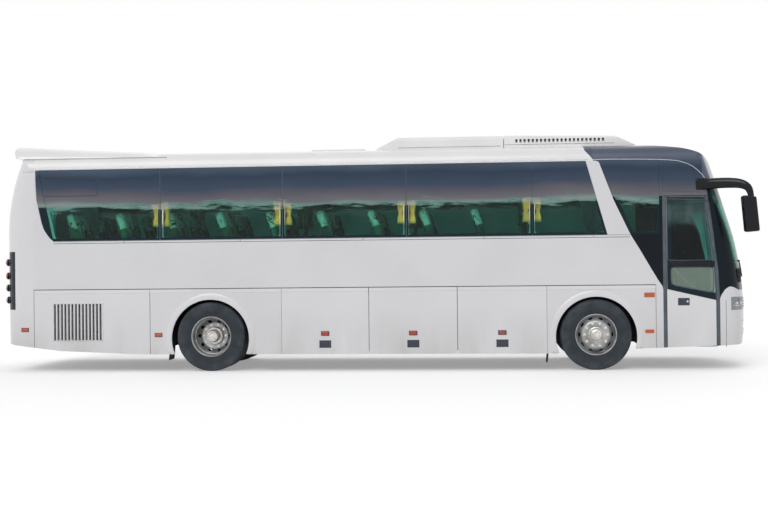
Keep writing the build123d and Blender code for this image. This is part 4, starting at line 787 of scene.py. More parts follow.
# %% [markdown]
# ## Wheels
#
# The front wheels show a convex disc with ten hand holes near its rim, ten nuts and a round cap.
# On the driven axle the disc is turned inwards, so one looks into a dish with the hub standing
# out of it. Both are turned from a list of rings, and the hand holes are cut with a boolean,
# because cutting ten ovals into a cone face by face would leave ragged edges.

# %% Discs with hand holes
def holed_disc(name, rings, hole_radius, hole_size, hole_depth):
    """A turned disc with ten oval hand holes cut through it along the axle."""
    disc = turned(name, rings, 80)
    take()
    bpy.ops.mesh.primitive_cylinder_add(vertices=20, radius=1, depth=hole_depth,
                                        scale=(hole_size[0], hole_size[1], 1))
    oval = settle("hole_cutter")
    cutter = spun(10, hole_radius, oval, "hole_cutters")
    applied(disc, "BOOLEAN", "hand_holes", operation="DIFFERENCE", object=cutter, solver="EXACT")
    bpy.data.objects.remove(cutter)
    take(disc)
    bpy.ops.object.shade_smooth_by_angle(angle=math.radians(35))
    return disc


FLANGE = [(0.1145, 0.2885), (0.115, 0.302), (0.119, 0.305), (0.124, 0.303), (0.1245, 0.296),
          (0.119, 0.288), (0.102, 0.28), (0.096, 0.279)]
BACK_RIM = [(-0.096, 0.27), (-0.119, 0.278), (-0.124, 0.29), (-0.1235, 0.303), (-0.115, 0.302),
            (-0.1145, 0.2885)]
front_rings = ([(0.1, 0.06), (0.1, 0.182), (0.056, 0.235), (0.008, 0.262), (-0.004, 0.27)]
               + BACK_RIM + FLANGE
               + [(0.036, 0.277), (0.028, 0.271), (0.034, 0.263), (0.064, 0.248), (0.096, 0.216),
                  (0.111, 0.199), (0.116, 0.19), (0.118, 0.182), (0.118, 0.15), (0.115, 0.147),
                  (0.115, 0.118), (0.12, 0.113), (0.12, 0.06), (0.1, 0.06)])
front_disc = holed_disc("front_disc", front_rings, 0.24, (0.014, 0.036), 0.5)
rear_rings = ([(-0.164, 0.06), (-0.164, 0.18), (-0.168, 0.19), (-0.16, 0.205), (-0.1, 0.24),
               (-0.046, 0.262), (-0.034, 0.27)]
              + BACK_RIM + FLANGE
              + [(0.0, 0.278), (-0.008, 0.271), (-0.012, 0.264), (-0.074, 0.242), (-0.134, 0.21),
                 (-0.148, 0.198), (-0.15, 0.19), (-0.1505, 0.14), (-0.146, 0.134), (-0.146, 0.06),
                 (-0.164, 0.06)])
rear_disc = holed_disc("rear_disc", rear_rings, 0.228, (0.018, 0.03), 0.7)
print("discs:", len(front_disc.data.polygons), "and", len(rear_disc.data.polygons), "faces")

# %% Nuts and hub caps
nut_rings = [(0.0, 0.0225), (0.004, 0.0225), (0.0045, 0.018), (0.026, 0.0178), (0.029, 0.0155),
             (0.0292, 0.0095), (0.035, 0.0092), (0.0365, 0.008), (0.0366, 0.0)]
front_nuts = spun(10, 0.1675, turned("nut", nut_rings, 12, angle=30), "front_nuts")
cap_rings = [(0.0, 0.112), (0.004, 0.112), (0.008, 0.108), (0.009, 0.099), (0.022, 0.096),
             (0.04, 0.088), (0.052, 0.074), (0.057, 0.06), (0.058, 0.056), (0.056, 0.054),
             (0.056, 0.048), (0.0585, 0.046), (0.06, 0.03), (0.0605, 0.0)]
front_cap = turned("front_cap", cap_rings, 56)
hub_rings = [(-0.15, 0.133), (-0.09, 0.13), (-0.082, 0.126), (-0.081, 0.101), (-0.076, 0.097),
             (0.03, 0.09), (0.048, 0.087), (0.056, 0.079), (0.057, 0.06), (0.054, 0.057),
             (0.054, 0.02), (0.056, 0.016), (0.0565, 0.0)]
rear_hub = turned("rear_hub", hub_rings, 56)
bolt_rings = [(0, 0.0105), (0.009, 0.0105), (0.0105, 0.0085), (0.0106, 0)]
flange_bolt = turned("flange_bolt", bolt_rings, 6, angle=30)
hub_bolts = spun(10, 0.114, flange_bolt, "hub_bolts")
rear_nuts = copy_of(front_nuts, "rear_nuts", (0, 0, -0.1505))
back_drum = turned("back_drum", [(-0.06, 0.05), (-0.06, 0.15), (0.1, 0.15), (0.1, 0.0)], 48)
print("nuts, caps and hubs modelled once")

# %% Wheels in their places
DISC_FACE, BOLT_FACE, TWIN_GAP = 0.118, -0.0815, 0.325
for side, sign in SIDES:
    lay, back_lay = (Matrix.Rotation(math.radians(90 * way), 4, "X") for way in (-sign, sign))
    place = Matrix.Translation((FRONT_X, outer_middle("tyre_front_" + side, sign), AXLE_Z)) @ lay
    proud = place @ Matrix.Translation((0, 0, DISC_FACE))
    rim = copy_of(front_disc, "rim_front_disc_" + side, place)
    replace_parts(fitted(rim, "wheel_front_" + side, "wheel_steel"), "rim_front_" + side)
    for piece, label, spot, finish, slot in (
            (back_drum, "rim_front_drum_", place, "cast_iron", "cast"),
            (front_nuts, "nuts_front_", proud, "nut_steel", "rim_steel"),
            (front_cap, "cap_front_", proud, "hub_steel", "rim_steel")):
        fitted(copy_of(piece, label + side, spot), "wheel_front_" + side, finish)
    rear_y = outer_middle("tyres_rear_" + side, sign)
    place = Matrix.Translation((REAR_X, rear_y, AXLE_Z)) @ lay
    outer_disc = copy_of(rear_disc, "rims_outer", place)
    inner_place = Matrix.Translation((REAR_X, rear_y - sign * TWIN_GAP, AXLE_Z))
    inner_disc = copy_of(rear_disc, "rims_inner", inner_place @ back_lay)
    rims = joined("rims_rear_pair_" + side, [outer_disc, inner_disc])
    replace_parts(fitted(rims, "wheels_rear_" + side, "wheel_steel"), "rims_rear_" + side)
    for piece, label, spot, finish in (
            (rear_nuts, "nuts_rear_", place, "nut_steel"),
            (hub_bolts, "hub_bolts_rear_", place @ Matrix.Translation((0, 0, BOLT_FACE)), "nut_steel"),
            (rear_hub, "hub_rear_", place, "hub_steel")):
        fitted(copy_of(piece, label + side, spot), "wheels_rear_" + side, finish)
for pattern in (front_disc, rear_disc, front_nuts, front_cap, rear_hub, hub_bolts, rear_nuts, back_drum):
    bpy.data.objects.remove(pattern)
print("wheels: 2 front, 2 rear pairs")

# %% [markdown]
# ## Passenger seats
#
# Each seat is a reclined foam back and a cushion in woven cloth, with a white cover over its head
# end. Foam under cloth crowns between its seams, which a box with round edges never does, so one
# back and one cushion are blown up by a short cloth simulation and then copied to every place.

# %% Seat finishes
def woven(name, thread, second, scale=260):
    """Woven cloth: two thread waves crossing, a drifting tone and a soft sheen."""
    tree, shader = new_finish(name, Roughness=0.9, Sheen_Weight=0.25, Sheen_Roughness=0.5)
    crossing = times(*(node(tree, "TexWave", "Fac", {
        "Scale": scale / 6, "Distortion": 0.6, "Vector": place_of(tree, tuple(a + 0.05 for a in axis))})
                       for axis in ((1, 0, 0.6), (0, 1, 0.6))))
    drift = ramp(cloud(tree, 4, 4), [(0.38, thread), (0.66, second)])
    shade = blended(spread(crossing, 0, 0.35), drift, (0, 0, 0, 1))
    feed(shader.inputs["Base Color"], shade)
    raised(shader, crossing, 0.4, 0.001)


def printed_cover():
    """White cotton with loose brown strokes, as on a headrest cover."""
    tree, shader = new_finish("headrest_cotton", Roughness=0.85, Sheen_Weight=0.15)
    wave = node(tree, "TexWave", "Fac", {
        "Scale": 3.1, "Distortion": 9, "Detail": 1.5, "Detail Scale": 2.4,
        "Vector": place_of(tree, (1, 0.6, 1))}, wave_type="BANDS", bands_direction="DIAGONAL")
    stroke = ramp(wave, [(0.045, (1, 1, 1, 1)), (0.075, (0, 0, 0, 1))])
    patch = over(cloud(tree, 7, 2), 0.46)
    ink = times(stroke, patch)
    cotton = ramp(cloud(tree, 9, 4), [(0.3, tone(232, 236, 226)), (0.7, tone(206, 214, 200))])
    feed(shader.inputs["Base Color"], blended(ink, cotton, tone(64, 50, 38)))
    raised(shader, cloud(tree, 320, 2), 0.2, 0.0006)


woven("seat_cloth", tone(40, 120, 88), tone(22, 78, 62))
printed_cover()
print("seat finishes ready")

# %% Foam blown up under cloth
def blown(piece, voxel=0.014, reach=0.014, pressure=4.0, keep=0.22):
    """Remeshes a pad, blows it up with a short cloth run, holds it to the reach and thins it."""
    applied(piece, "REMESH", "even_mesh", mode="VOXEL", voxel_size=voxel)
    start = [v.co.copy() for v in piece.data.vertices]
    take(piece)
    cloth = piece.modifiers.new("foam", "CLOTH")
    cloth.settings.use_pressure = True
    cloth.settings.uniform_pressure_force = pressure
    cloth.settings.effector_weights.gravity = 0
    cloth.settings.tension_stiffness = cloth.settings.compression_stiffness = 12
    cloth.point_cache.frame_start, cloth.point_cache.frame_end = 1, 20
    for step in range(1, 21):
        bpy.context.scene.frame_set(step)
    bpy.ops.object.modifier_apply(modifier=cloth.name)
    bpy.context.scene.frame_set(1)
    for vertex, old in zip(piece.data.vertices, start):
        move = vertex.co - old
        if move.length > reach:
            vertex.co = old + move.normalized() * reach
    applied(piece, "SMOOTH", "even_crown", factor=0.5, iterations=4)
    applied(piece, "DECIMATE", "lighter", ratio=keep)
    take(piece)
    bpy.ops.object.shade_smooth()
    return piece


back_pad = slab("back_pad", (-0.052, -0.196, 0.0), (0.052, 0.196, 0.78), 0.028, 3)
edited(back_pad, cut_at((0, 0, 0.54)), cut_at((0, 0, 0.66)))
for vertex in back_pad.data.vertices:
    if vertex.co.z > 0.535:
        vertex.co.y *= 1 - 0.2 * min(1, (vertex.co.z - 0.535) / 0.2)
blown(back_pad)
seat_pad = slab("seat_pad", (-0.4, -0.196, 0.0), (0.03, 0.196, 0.115), 0.028, 3)
blown(seat_pad)
print("pads:", len(back_pad.data.polygons), "and", len(seat_pad.data.polygons), "faces")

# %% One seat of each kind, then every place
BACK_TILT = math.radians(-17.2)
ROW_PITCH = 0.775
ROWS = 10
FIRST_ROW_X = FRONT_X - 0.25
DRIVER_X = FRONT_X + 1.25
FLOOR_Z, DRIVER_FLOOR_Z = 1.3, 0.9
COVER_Z = 0.86


def pads_at(name, front_x, seat_y, floor_z):
    """A cushion and a back at one seat, as one piece."""
    rear_x = front_x - 0.45
    lean = Matrix.Translation((rear_x - 0.075, seat_y, floor_z + 0.37)) @ Matrix.Rotation(BACK_TILT, 4, "Y")
    back = copy_of(back_pad, name + "_back", lean)
    seat = copy_of(seat_pad, name + "_seat", (front_x - 0.04, seat_y, floor_z + 0.335))
    return [back, seat]


def upholstered(name, pads, floor_z):
    """Joins pads, gives the head ends of the backs the printed cotton and fits them as padding."""
    piece = joined(name, pads)
    piece.data.materials.clear()
    for finish in ("seat_cloth", "headrest_cotton"):
        piece.data.materials.append(FINISH[finish])
    for face in piece.data.polygons:
        face.material_index = 1 if face.center.z > floor_z + COVER_Z else 0
    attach(piece, "coach")
    return piece


for side, sign in SIDES:
    for row in range(ROWS):
        front_x = FIRST_ROW_X - ROW_PITCH * row
        made = []
        for place in (0.495, 0.905):
            made += pads_at(f"seat_{side}_{row}", front_x, sign * place, FLOOR_Z)
        pair = upholstered(f"seat_pads_{side}_{row + 1}", made, FLOOR_Z)
        if row == 0 and sign < 0:
            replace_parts(pair, "passenger_seats")
driver_pads = upholstered("driver_pads", pads_at("driver", DRIVER_X, 0.65, DRIVER_FLOOR_Z), DRIVER_FLOOR_Z)
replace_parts(driver_pads, "driver_seat")
for pattern in (back_pad, seat_pad):
    bpy.data.objects.remove(pattern)
print("seats:", ROWS * 4, "and the driver's")

# %% [markdown]
# ## Seat frames
#
# Below and between the pads there are shells, armrests and a pedestal. They carry the seat to the
# floor, which one sees through the windscreen and when a door stands open.

# %% Shells, armrests and pedestals
def seat_frame(name, front_x, low_y, high_y, floor_z):
    """Pedestal, pan, back shell and armrests of one pair or one single seat."""
    middle = (low_y + high_y) / 2
    rear_x = front_x - 0.45
    pan = slab("pan", (rear_x - 0.02, low_y + 0.02, floor_z + 0.315),
               (front_x - 0.03, high_y - 0.02, floor_z + 0.338), 0.008)
    leg = slab("leg", (rear_x + 0.1, middle - 0.04, floor_z + 0.02),
               (front_x - 0.14, middle + 0.04, floor_z + 0.318), 0.012)
    foot = slab("foot", (rear_x + 0.04, middle - 0.09, floor_z),
                (front_x - 0.08, middle + 0.09, floor_z + 0.022), 0.006)
    shell = slab("shell", (-0.016, low_y - middle + 0.02, 0.02), (0.016, high_y - middle - 0.02, 0.6), 0.014)
    shell.data.transform(Matrix.Translation((rear_x - 0.125, middle, floor_z + 0.355))
                         @ Matrix.Rotation(BACK_TILT, 4, "Y"))
    arms = []
    for place in (low_y + 0.012, high_y - 0.012):
        arms.append(slab("arm", (rear_x - 0.06, place - 0.016, floor_z + 0.6),
                         (front_x - 0.14, place + 0.016, floor_z + 0.645), 0.014, 3))
        arms.append(slab("arm_post", (rear_x - 0.02, place - 0.01, floor_z + 0.32),
                         (rear_x + 0.03, place + 0.01, floor_z + 0.61), 0.006))
    return joined(name, [pan, leg, foot, shell] + arms)


pattern_frame = seat_frame("seat_frame", 0, -0.41, 0.41, 0)
for side, sign in SIDES:
    rows = [copy_of(pattern_frame, f"frame_{side}_{row}",
                    (FIRST_ROW_X - ROW_PITCH * row, sign * 0.7, FLOOR_Z)) for row in range(ROWS)]
    fitted(joined("seat_frames_" + side, rows), "coach", "dash_plastic")
bpy.data.objects.remove(pattern_frame)
fitted(seat_frame("driver_seat_frame", DRIVER_X, 0.4, 0.9, DRIVER_FLOOR_Z), "coach", "dash_plastic")
print("seat frames: 20 pairs and the driver's")

# %% [markdown]
# ## Curtains
#
# Between the panes hang narrow curtains, gathered and tied, two at each divider. Cloth that is
# gathered keeps its width in its folds: the sheet below is a zigzag of soft waves, and its flat
# width is measured along the wave, so it is a real sheet and not a painted strip.

# %% Gathered curtains at the dividers
woven("curtain_cloth", tone(255, 236, 150), tone(240, 222, 120), 220)
CURTAIN_Z = (2.19, 2.69)


def gathered(name, centre_x, centre_y, folds=7, width=0.095, depth=0.013):
    """One gathered curtain: a grid folded into waves, tightest at its tie, given a thin cloth."""
    take()
    columns, rows = folds * 8, 24
    bpy.ops.mesh.primitive_grid_add(x_subdivisions=columns, y_subdivisions=rows, size=1)
    piece = settle(name, 60)
    tall = CURTAIN_Z[1] - CURTAIN_Z[0]
    for vertex in piece.data.vertices:
        across, up = vertex.co.x, vertex.co.y + 0.5
        tie = 1 - 0.45 * math.exp(-((up - 0.32) / 0.12) ** 2)
        wave = math.sin(across * folds * math.tau)
        vertex.co = (centre_x + across * width * tie, centre_y + depth * (0.75 + 0.25 * tie) * wave,
                     CURTAIN_Z[0] + up * tall)
    applied(piece, "SOLIDIFY", "cloth", thickness=0.0012, offset=0)
    take(piece)
    bpy.ops.object.shade_smooth()
    fitted(piece, "coach", "curtain_cloth")
    return piece


curtain_low, curtain_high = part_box("curtains")
curtain_number = 0
for side, wall_y in (("right", curtain_low.y + 0.02), ("left", curtain_high.y - 0.02)):
    for divider in (-0.915, -2.775, -4.635, -6.495):
        for step in (-0.088, 0.088):
            curtain_number += 1
            cloth = gathered(f"curtain_{side}_{curtain_number}", FRONT_X + divider + step, wall_y)
            if curtain_number == 1:
                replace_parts(cloth, "curtains")
print("curtains:", curtain_number)

# %% [markdown]
# ## Finding the skin
#
# Trim has to lie on a surface that leans and curves. Rather than work out where the skin is, a
# ray is shot at the frame from outside and stops where it meets a panel. The hit gives the place
# and the direction that the surface faces, so trim can be set on it to a fraction of a millimetre.

# %% Rays onto the panels
SKIN = ["side_wall_right", "side_wall_left", "side_glass", "roof", "roof_front", "front_mask", "windscreen",
        "front_bumper", "rear_cap", "engine_door", "rear_window", "passenger_door", "door_glass", "headlamps",
        "rear_flap_right", "rear_flap_left", "tail_lamps", "ac_front", "ac_rear"]
SKIN += BAY_DOORS
SKIN_LEAST_Y = 0.6


def skin_hit(start, way, names=SKIN):
    """The nearest point where a ray meets the named panels, and the way the surface faces there."""
    best = None
    for name in names:
        hit, spot, normal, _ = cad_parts[name].ray_cast(Vector(start), Vector(way).normalized())
        if hit and (best is None or (spot - Vector(start)).length < (best[0] - Vector(start)).length):
            best = (spot, normal)
    return best


def side_y(x, z, side=-1):
    """Y of the right or left skin at one place, seen square from the side, past any open joint."""
    for lift in (0, -0.012, 0.012):
        found = skin_hit((x, side * 2.0, z + lift), (0, -side, 0))
        if found and found[0].y * side > SKIN_LEAST_Y:
            return found[0].y
    return side * HALF_WIDTH


def on_side(ahead, z, side=-1):
    """A point of the skin given by its distance ahead of the front axle and its height."""
    x = FRONT_X + ahead
    return Vector((x, side_y(x, z, side), z))


print("skin at the waist:", round(side_y(0, 1.6), 4))

# %% [markdown]
# ## Lines along the body
#
# A coach side is drawn by its lines: the bright strip under the glass, the dark joint at the belt,
# the silver arch over the front panes, the drip rail. Each is a thin profile drawn along the skin.
# A curve with a small round section does it, and is then turned into a mesh.

# %% A bead along the skin
def drawn(name, points, radius, kind="NURBS", swells=None, steps=8, rounds=3):
    """A round bar along a line of points, made a mesh."""
    take()
    bpy.ops.curve.primitive_nurbs_path_add()
    line = bpy.context.object
    line.data.splines.clear()
    spline = line.data.splines.new(kind)
    spline.points.add(len(points) - 1)
    for number, (point, spot) in enumerate(zip(spline.points, points)):
        point.co = (*spot, 1)
        if swells:
            point.radius = swells[number]
    spline.use_endpoint_u = True
    spline.order_u = 3
    spline.resolution_u = steps
    line.data.bevel_depth = radius
    line.data.bevel_resolution = rounds
    line.data.use_fill_caps = True
    bpy.ops.object.convert(target="MESH")
    return settle(name, 60)


def bead(name, points, radius, sink=0.35, side=-1):
    """A thin round bead through points on the skin, sunk a little into it."""
    sunk = [(x, y - side * radius * sink, z) for x, y, z in points]
    return drawn(name, sunk, radius, "POLY", rounds=2)


def even(first, last, count):
    """Evenly spaced values from first to last."""
    return [first + (last - first) * n / (count - 1) for n in range(count)]


ARCH_LINE = [(-8.44, 3.092), (-6.0, 3.094), (-4.0, 3.094), (-2.0, 3.094), (-0.2, 3.094), (0.3, 3.092),
             (0.657, 3.086), (0.932, 3.078), (1.08, 3.068), (1.207, 3.054), (1.342, 3.01), (1.42, 2.968),
             (1.478, 2.921), (1.546, 2.852), (1.585, 2.8)]
SILL_REAR, SILL_FRONT = FRONT_X - 8.15, FRONT_X + 0.5
for side, sign in SIDES:
    arch = bead("arch_line_" + side, [on_side(a, z, sign) for a, z in ARCH_LINE], 0.0055, 0.3, sign)
    fitted(arch, "coach", "trim_silver")
    sill = slab("sill_strip_" + side, (SILL_REAR, -0.003, 1.953), (SILL_FRONT, 0.003, 1.979), 0.002)
    fitted(moved(sill, 0, sign * 1.2495, 0), "coach", "white_paint")
    joints = [slab("joint", (FRONT_X + a - 0.003, -0.0036, 1.9535), (FRONT_X + a + 0.003, 0.0036, 1.9785))
              for a in (-7.05, -5.27, -3.42, -1.62, -0.02)]
    line = slab("sill_line", (SILL_REAR, -0.0012, 1.979), (SILL_FRONT, 0.0012, 1.9835))
    foot_line = slab("foot_line", (SILL_REAR, -0.0012, 1.9465), (SILL_FRONT, 0.0012, 1.953))
    belt = slab("belt_joint", (FRONT_X - 8.467, -0.0016, 1.2425), (FRONT_X + 0.862, 0.0016, 1.2525))
    lines = joined("side_joints_" + side, joints + [line, foot_line, belt])
    fitted(moved(lines, 0, sign * HALF_WIDTH, 0), "coach", "black_rubber")
print("lines along both sides")

# %% [markdown]
# ## Swept rear end of the side glass
#
# The last pane ends in a curve, not in a straight edge. A narrow printed pane is laid over the
# wall behind it: a grid whose rear column follows the curve. It is lifted onto the skin by rays and
# made 4 mm thick. A vent window's frame is drawn on the pane as a closed bead.

# %% Swept pane and vent frame
SWEEP = [(1.99, -8.16), (2.01, -8.185), (2.06, -8.228), (2.16, -8.299), (2.27, -8.338), (2.39, -8.366),
         (2.62, -8.419), (2.85, -8.434), (3.07, -8.441)]
VENT_REAR, VENT_FRONT, VENT_FOOT, VENT_TOP = -8.335, -7.472, 2.673, 2.979


def swept(z):
    """How far ahead the curved edge lies at a height."""
    for (low, first), (high, last) in zip(SWEEP, SWEEP[1:]):
        if z <= high:
            return first + (last - first) * max(0.0, z - low) / (high - low)
    return SWEEP[-1][1]


for side, sign in SIDES:
    take()
    bpy.ops.mesh.primitive_grid_add(x_subdivisions=4, y_subdivisions=36, size=2)
    pane = settle("swept_pane_" + side, 40)
    for vertex in pane.data.vertices:
        across, up = (vertex.co.x + 1) / 2, (vertex.co.y + 1) / 2
        z = SWEEP[0][0] + (SWEEP[-1][0] - SWEEP[0][0]) * up
        straight = -7.723 - 0.2202 * z + 0.006
        spot = on_side(swept(z) * (1 - across) + straight * across, z, sign)
        vertex.co = (spot.x, spot.y + sign * 0.0025, spot.z)
    applied(pane, "SOLIDIFY", "thick", thickness=0.004, offset=0)
    fitted(edited(pane, face_out), "coach", "sweep_pane")
    corners = [(VENT_REAR + 0.03, VENT_FOOT), (VENT_FRONT - 0.03, VENT_FOOT), (VENT_FRONT, VENT_FOOT + 0.03),
               (VENT_FRONT, VENT_TOP - 0.03), (VENT_FRONT - 0.03, VENT_TOP), (VENT_REAR + 0.03, VENT_TOP),
               (VENT_REAR, VENT_TOP - 0.03), (VENT_REAR, VENT_FOOT + 0.03), (VENT_REAR + 0.03, VENT_FOOT)]
    vent = bead("vent_frame_" + side, [on_side(a, z, sign) for a, z in corners], 0.0065, 0.3, sign)
    fitted(vent, "coach", "latch_black")
print("swept panes and vent frames on both sides")

# %% [markdown]
# ## Wheel arches
#
# Round each arch runs a raised white lip. It is a ring turned round the axle, cut off where the
# skirt ends, and it is fixed to the wall. Behind each wheel hangs a rubber mud flap.

# %% Arch lips and mud flaps
ARCH_Z, ARCH_RADIUS = 0.492, 0.6
LIP = [(-0.004, -0.012), (0.01, -0.01), (0.0125, 0.004), (0.0115, 0.03), (0.0075, 0.06), (0.002, 0.08),
       (-0.004, 0.086), (-0.004, -0.012)]


def arch_lip(name, ahead, low_z, sign, rise=0.0):
    """A raised ring round an arch, cut along the skirt at its feet."""
    rings = [(height, ARCH_RADIUS + out) for height, out in LIP]
    ring = turned(name, rings, 120, turn=(math.radians(90 * -sign), 0, 0), angle=30)
    moved(ring, FRONT_X + ahead, sign * HALF_WIDTH, ARCH_Z)
    return edited(ring, cut_at((FRONT_X + ahead, 0, low_z), (-rise, 0, 1), clear_inner=True, use_fill=True))


FLAP_RINGS = 6
for side, sign in SIDES:
    lips = joined("arch_lips_" + side, [arch_lip("lip_front", 0.0, 0.292, sign, 0.056),
                                        arch_lip("lip_rear", -5.74, 0.262, sign)])
    fitted(lips, "coach", "white_paint")
    inner_y, outer_y = sorted((sign * 0.93, sign * 1.215))
    flaps = []
    for ahead, foot in ((-0.69, 0.115), (-6.363, 0.17)):
        x = FRONT_X + ahead
        flap = slab("mud_flap", (x - 0.008, inner_y, foot), (x + 0.008, outer_y, 0.6), 0.005)
        edited(flap, *(cut_at((0, 0, level)) for level in even(foot + 0.06, 0.5, FLAP_RINGS)))
        for vertex in flap.data.vertices:
            low = max(0, (0.5 - vertex.co.z) / 0.5)
            vertex.co.x -= 0.05 * low ** 2
        flaps.append(flap)
    fitted(joined("mud_flaps_" + side, flaps), "coach", "black_rubber")
print("arch lips and mud flaps")

# %% [markdown]
# ## Lower panels
#
# The doors of the luggage bays have a bevelled top edge that catches the light, a latch in a dark
# pocket and an orange side marker. These ride on the doors, so they swing up with them.

# %% Bevels, latches and markers on the bay doors
def bevel_strip(name, low_x, high_x, sign):
    """A thin wedge under the belt whose face looks a little upwards."""
    strip = slab(name, (low_x, -0.001, 1.186), (high_x, 0.0055, 1.2405))
    for vertex in strip.data.vertices:
        if vertex.co.y > 0:
            vertex.co.y = 0.0005 if vertex.co.z > 1.22 else 0.005
            if vertex.co.z < 1.2:
                vertex.co.z = 1.19
    return to_side(strip, sign, sign * HALF_WIDTH)


def lens(name, x, y, z, length, height, thick, sign):
    """A domed oblong lens standing on the side."""
    glass = slab(name, (x - length / 2, -0.004, z - height / 2), (x + length / 2, thick, z + height / 2),
                 min(height, thick * 2) * 0.42, 4)
    return to_side(glass, sign, y)


for side, sign in SIDES:
    rims = []
    for ahead, z in ((-8.606, 0.641), (-6.534, 0.554)):
        spot = on_side(ahead, z, sign)
        rims.append(lens("rim", spot.x, spot.y, z, 0.118, 0.064, 0.004, sign))
    fitted(joined("marker_rims_" + side, rims), "coach", "latch_black")
    for number in (1, 2, 3):
        label = f"bay_door_{side}_{number}"
        low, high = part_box(label)
        middle = (low.x + high.x) / 2
        strip = bevel_strip(label + "_bevel", low.x + 0.001, high.x - 0.001, sign)
        fitted(strip, label, "white_paint")
        marker = lens(label + "_marker", middle, sign * 1.256, 0.563, 0.1, 0.052, 0.012, sign)
        fitted(marker, label, "lamp_orange")
        surround = lens(label + "_marker_rim", middle, sign * 1.2535, 0.563, 0.124, 0.068, 0.006, sign)
        fitted(surround, label, "latch_black")
        rim = slab("latch_rim", (middle - 0.089, -0.003, 0.349), (middle + 0.089, 0.0035, 0.461), 0.002)
        pull = slab("latch_pull", (middle - 0.068, -0.006, 0.385), (middle + 0.068, 0.0045, 0.428), 0.004, 3)
        lock = turned("latch_lock", [(-0.004, 0.011), (0.006, 0.011), (0.0075, 0.009), (0.0076, 0)], 20,
                      (middle, 0, 0.362), (math.radians(-90), 0, 0))
        plate = to_side(joined(label + "_latch", [rim, pull, lock]), sign, sign * 1.2495)
        fitted(plate, label, "latch_black")
    flap = "rear_flap_" + side
    low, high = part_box(flap)
    strip = bevel_strip(flap + "_bevel", low.x + 0.001, high.x - 0.001, sign)
    fitted(strip, flap, "white_paint")
    spans = [(high.x + 0.004, REAR_X - 0.3), (REAR_X + 0.3, FRONT_X - 4.665),
             (FRONT_X - 0.705, FRONT_X + 0.862)]
    strips = [bevel_strip("fixed_bevel", a, b, sign) for a, b in spans]
    fitted(joined("fixed_bevels_" + side, strips), "coach", "white_paint")
    seam = slab("front_panel_seam_" + side, (FRONT_X + 0.861, -0.0012, 0.325),
                (FRONT_X + 0.866, 0.0012, 1.246))
    fitted(moved(seam, 0, sign * HALF_WIDTH, 0), "coach", "black_rubber")
    for name, ahead, z, length, height in (
            ("indicator", 0.771, 1.101, 0.15, 0.066), ("oval", 0.769, 0.57, 0.13, 0.05),
            ("tail", -8.606, 0.641, 0.1, 0.048), ("mid", -6.534, 0.554, 0.1, 0.048)):
        spot = on_side(ahead, z, sign)
        lamp = lens(f"side_{name}_{side}", spot.x, spot.y, z, length, height, 0.013, sign)
        fitted(lamp, "coach", "lamp_amber")
print("lower panels dressed")

# %% [markdown]
# ## Engine bay louvre
#
# Behind the rear wheel the flap has a louvre with upright slots. The frame has the slots cut
# through; pressed ribs between them give them their depth, and a black sheet behind them stands in
# for the shade inside the bay as painted shade.

# %% Ribs and shade sheet of the louvre
LOUVRE_REAR, LOUVRE_FRONT, LOUVRE_FOOT, LOUVRE_TOP = -8.166, -7.402, 0.48, 1.03
SLOTS = 14
PITCH_X = (LOUVRE_FRONT - LOUVRE_REAR) / SLOTS
rear_x, front_x = FRONT_X + LOUVRE_REAR, FRONT_X + LOUVRE_FRONT
for side, sign in SIDES:
    ribs = []
    for n in range(SLOTS + 1):
        x = rear_x + PITCH_X * n
        ribs.append(slab("rib", (x - PITCH_X * 0.2, -0.004, LOUVRE_FOOT - 0.012),
                         (x + PITCH_X * 0.2, 0.007, LOUVRE_TOP + 0.012), 0.004))
    for z in (LOUVRE_FOOT - 0.014, LOUVRE_TOP + 0.002):
        ribs.append(slab("rail", (rear_x - 0.02, -0.004, z), (front_x + 0.02, 0.005, z + 0.012), 0.003))
    grille = joined("louvre_ribs_" + side, ribs)
    moved(grille, 0, sign * HALF_WIDTH - (0.003 if sign < 0 else 0), 0)
    fitted(grille, "rear_flap_" + side, "white_paint")
    # Painted shade: a black sheet behind the slots stands in for the shade inside the bay.
    screen = slab("louvre_shade_sheet_" + side, (rear_x - 0.02, -0.004, LOUVRE_FOOT - 0.02),
                  (front_x + 0.02, 0.004, LOUVRE_TOP + 0.02), 0.002)
    fitted(moved(screen, 0, sign * 1.196, 0), "rear_flap_" + side, "black_rubber")
print("louvres with", SLOTS, "slots a side")

# %% [markdown]
# ## Passenger door
#
# The door leaf has a tall upper pane, a level bar, a small lower pane with round corners and a
# recessed handle. The leaf swings on its column and stays parallel to the side while it does, so
# everything here rides on the leaf.

# %% Frames, bar and handle of the door
def door_outline_bead(name, corners, radius, sign=-1):
    """A closed bead round a pane through points on the door's skin."""
    spots = []
    for first, second in zip(corners, corners[1:] + corners[:1]):
        for share in (0, 0.25, 0.5, 0.75):
            a = first[0] + (second[0] - first[0]) * share
            z = first[1] + (second[1] - first[1]) * share
            spots.append(on_side(a, z, sign))
    return bead(name, spots + spots[:1], radius, 0.2, sign)


def rounded(corners, cut):
    """Corner points with each corner cut into three, which reads as round."""
    made = []
    count = len(corners)
    for n, corner in enumerate(corners):
        before, after = corners[n - 1], corners[(n + 1) % count]
        here = Vector(corner)
        back, on = (Vector(before) - here).normalized(), (Vector(after) - here).normalized()
        made += [tuple(here + back * cut), tuple(here + (back + on) * cut * 0.29), tuple(here + on * cut)]
    return made


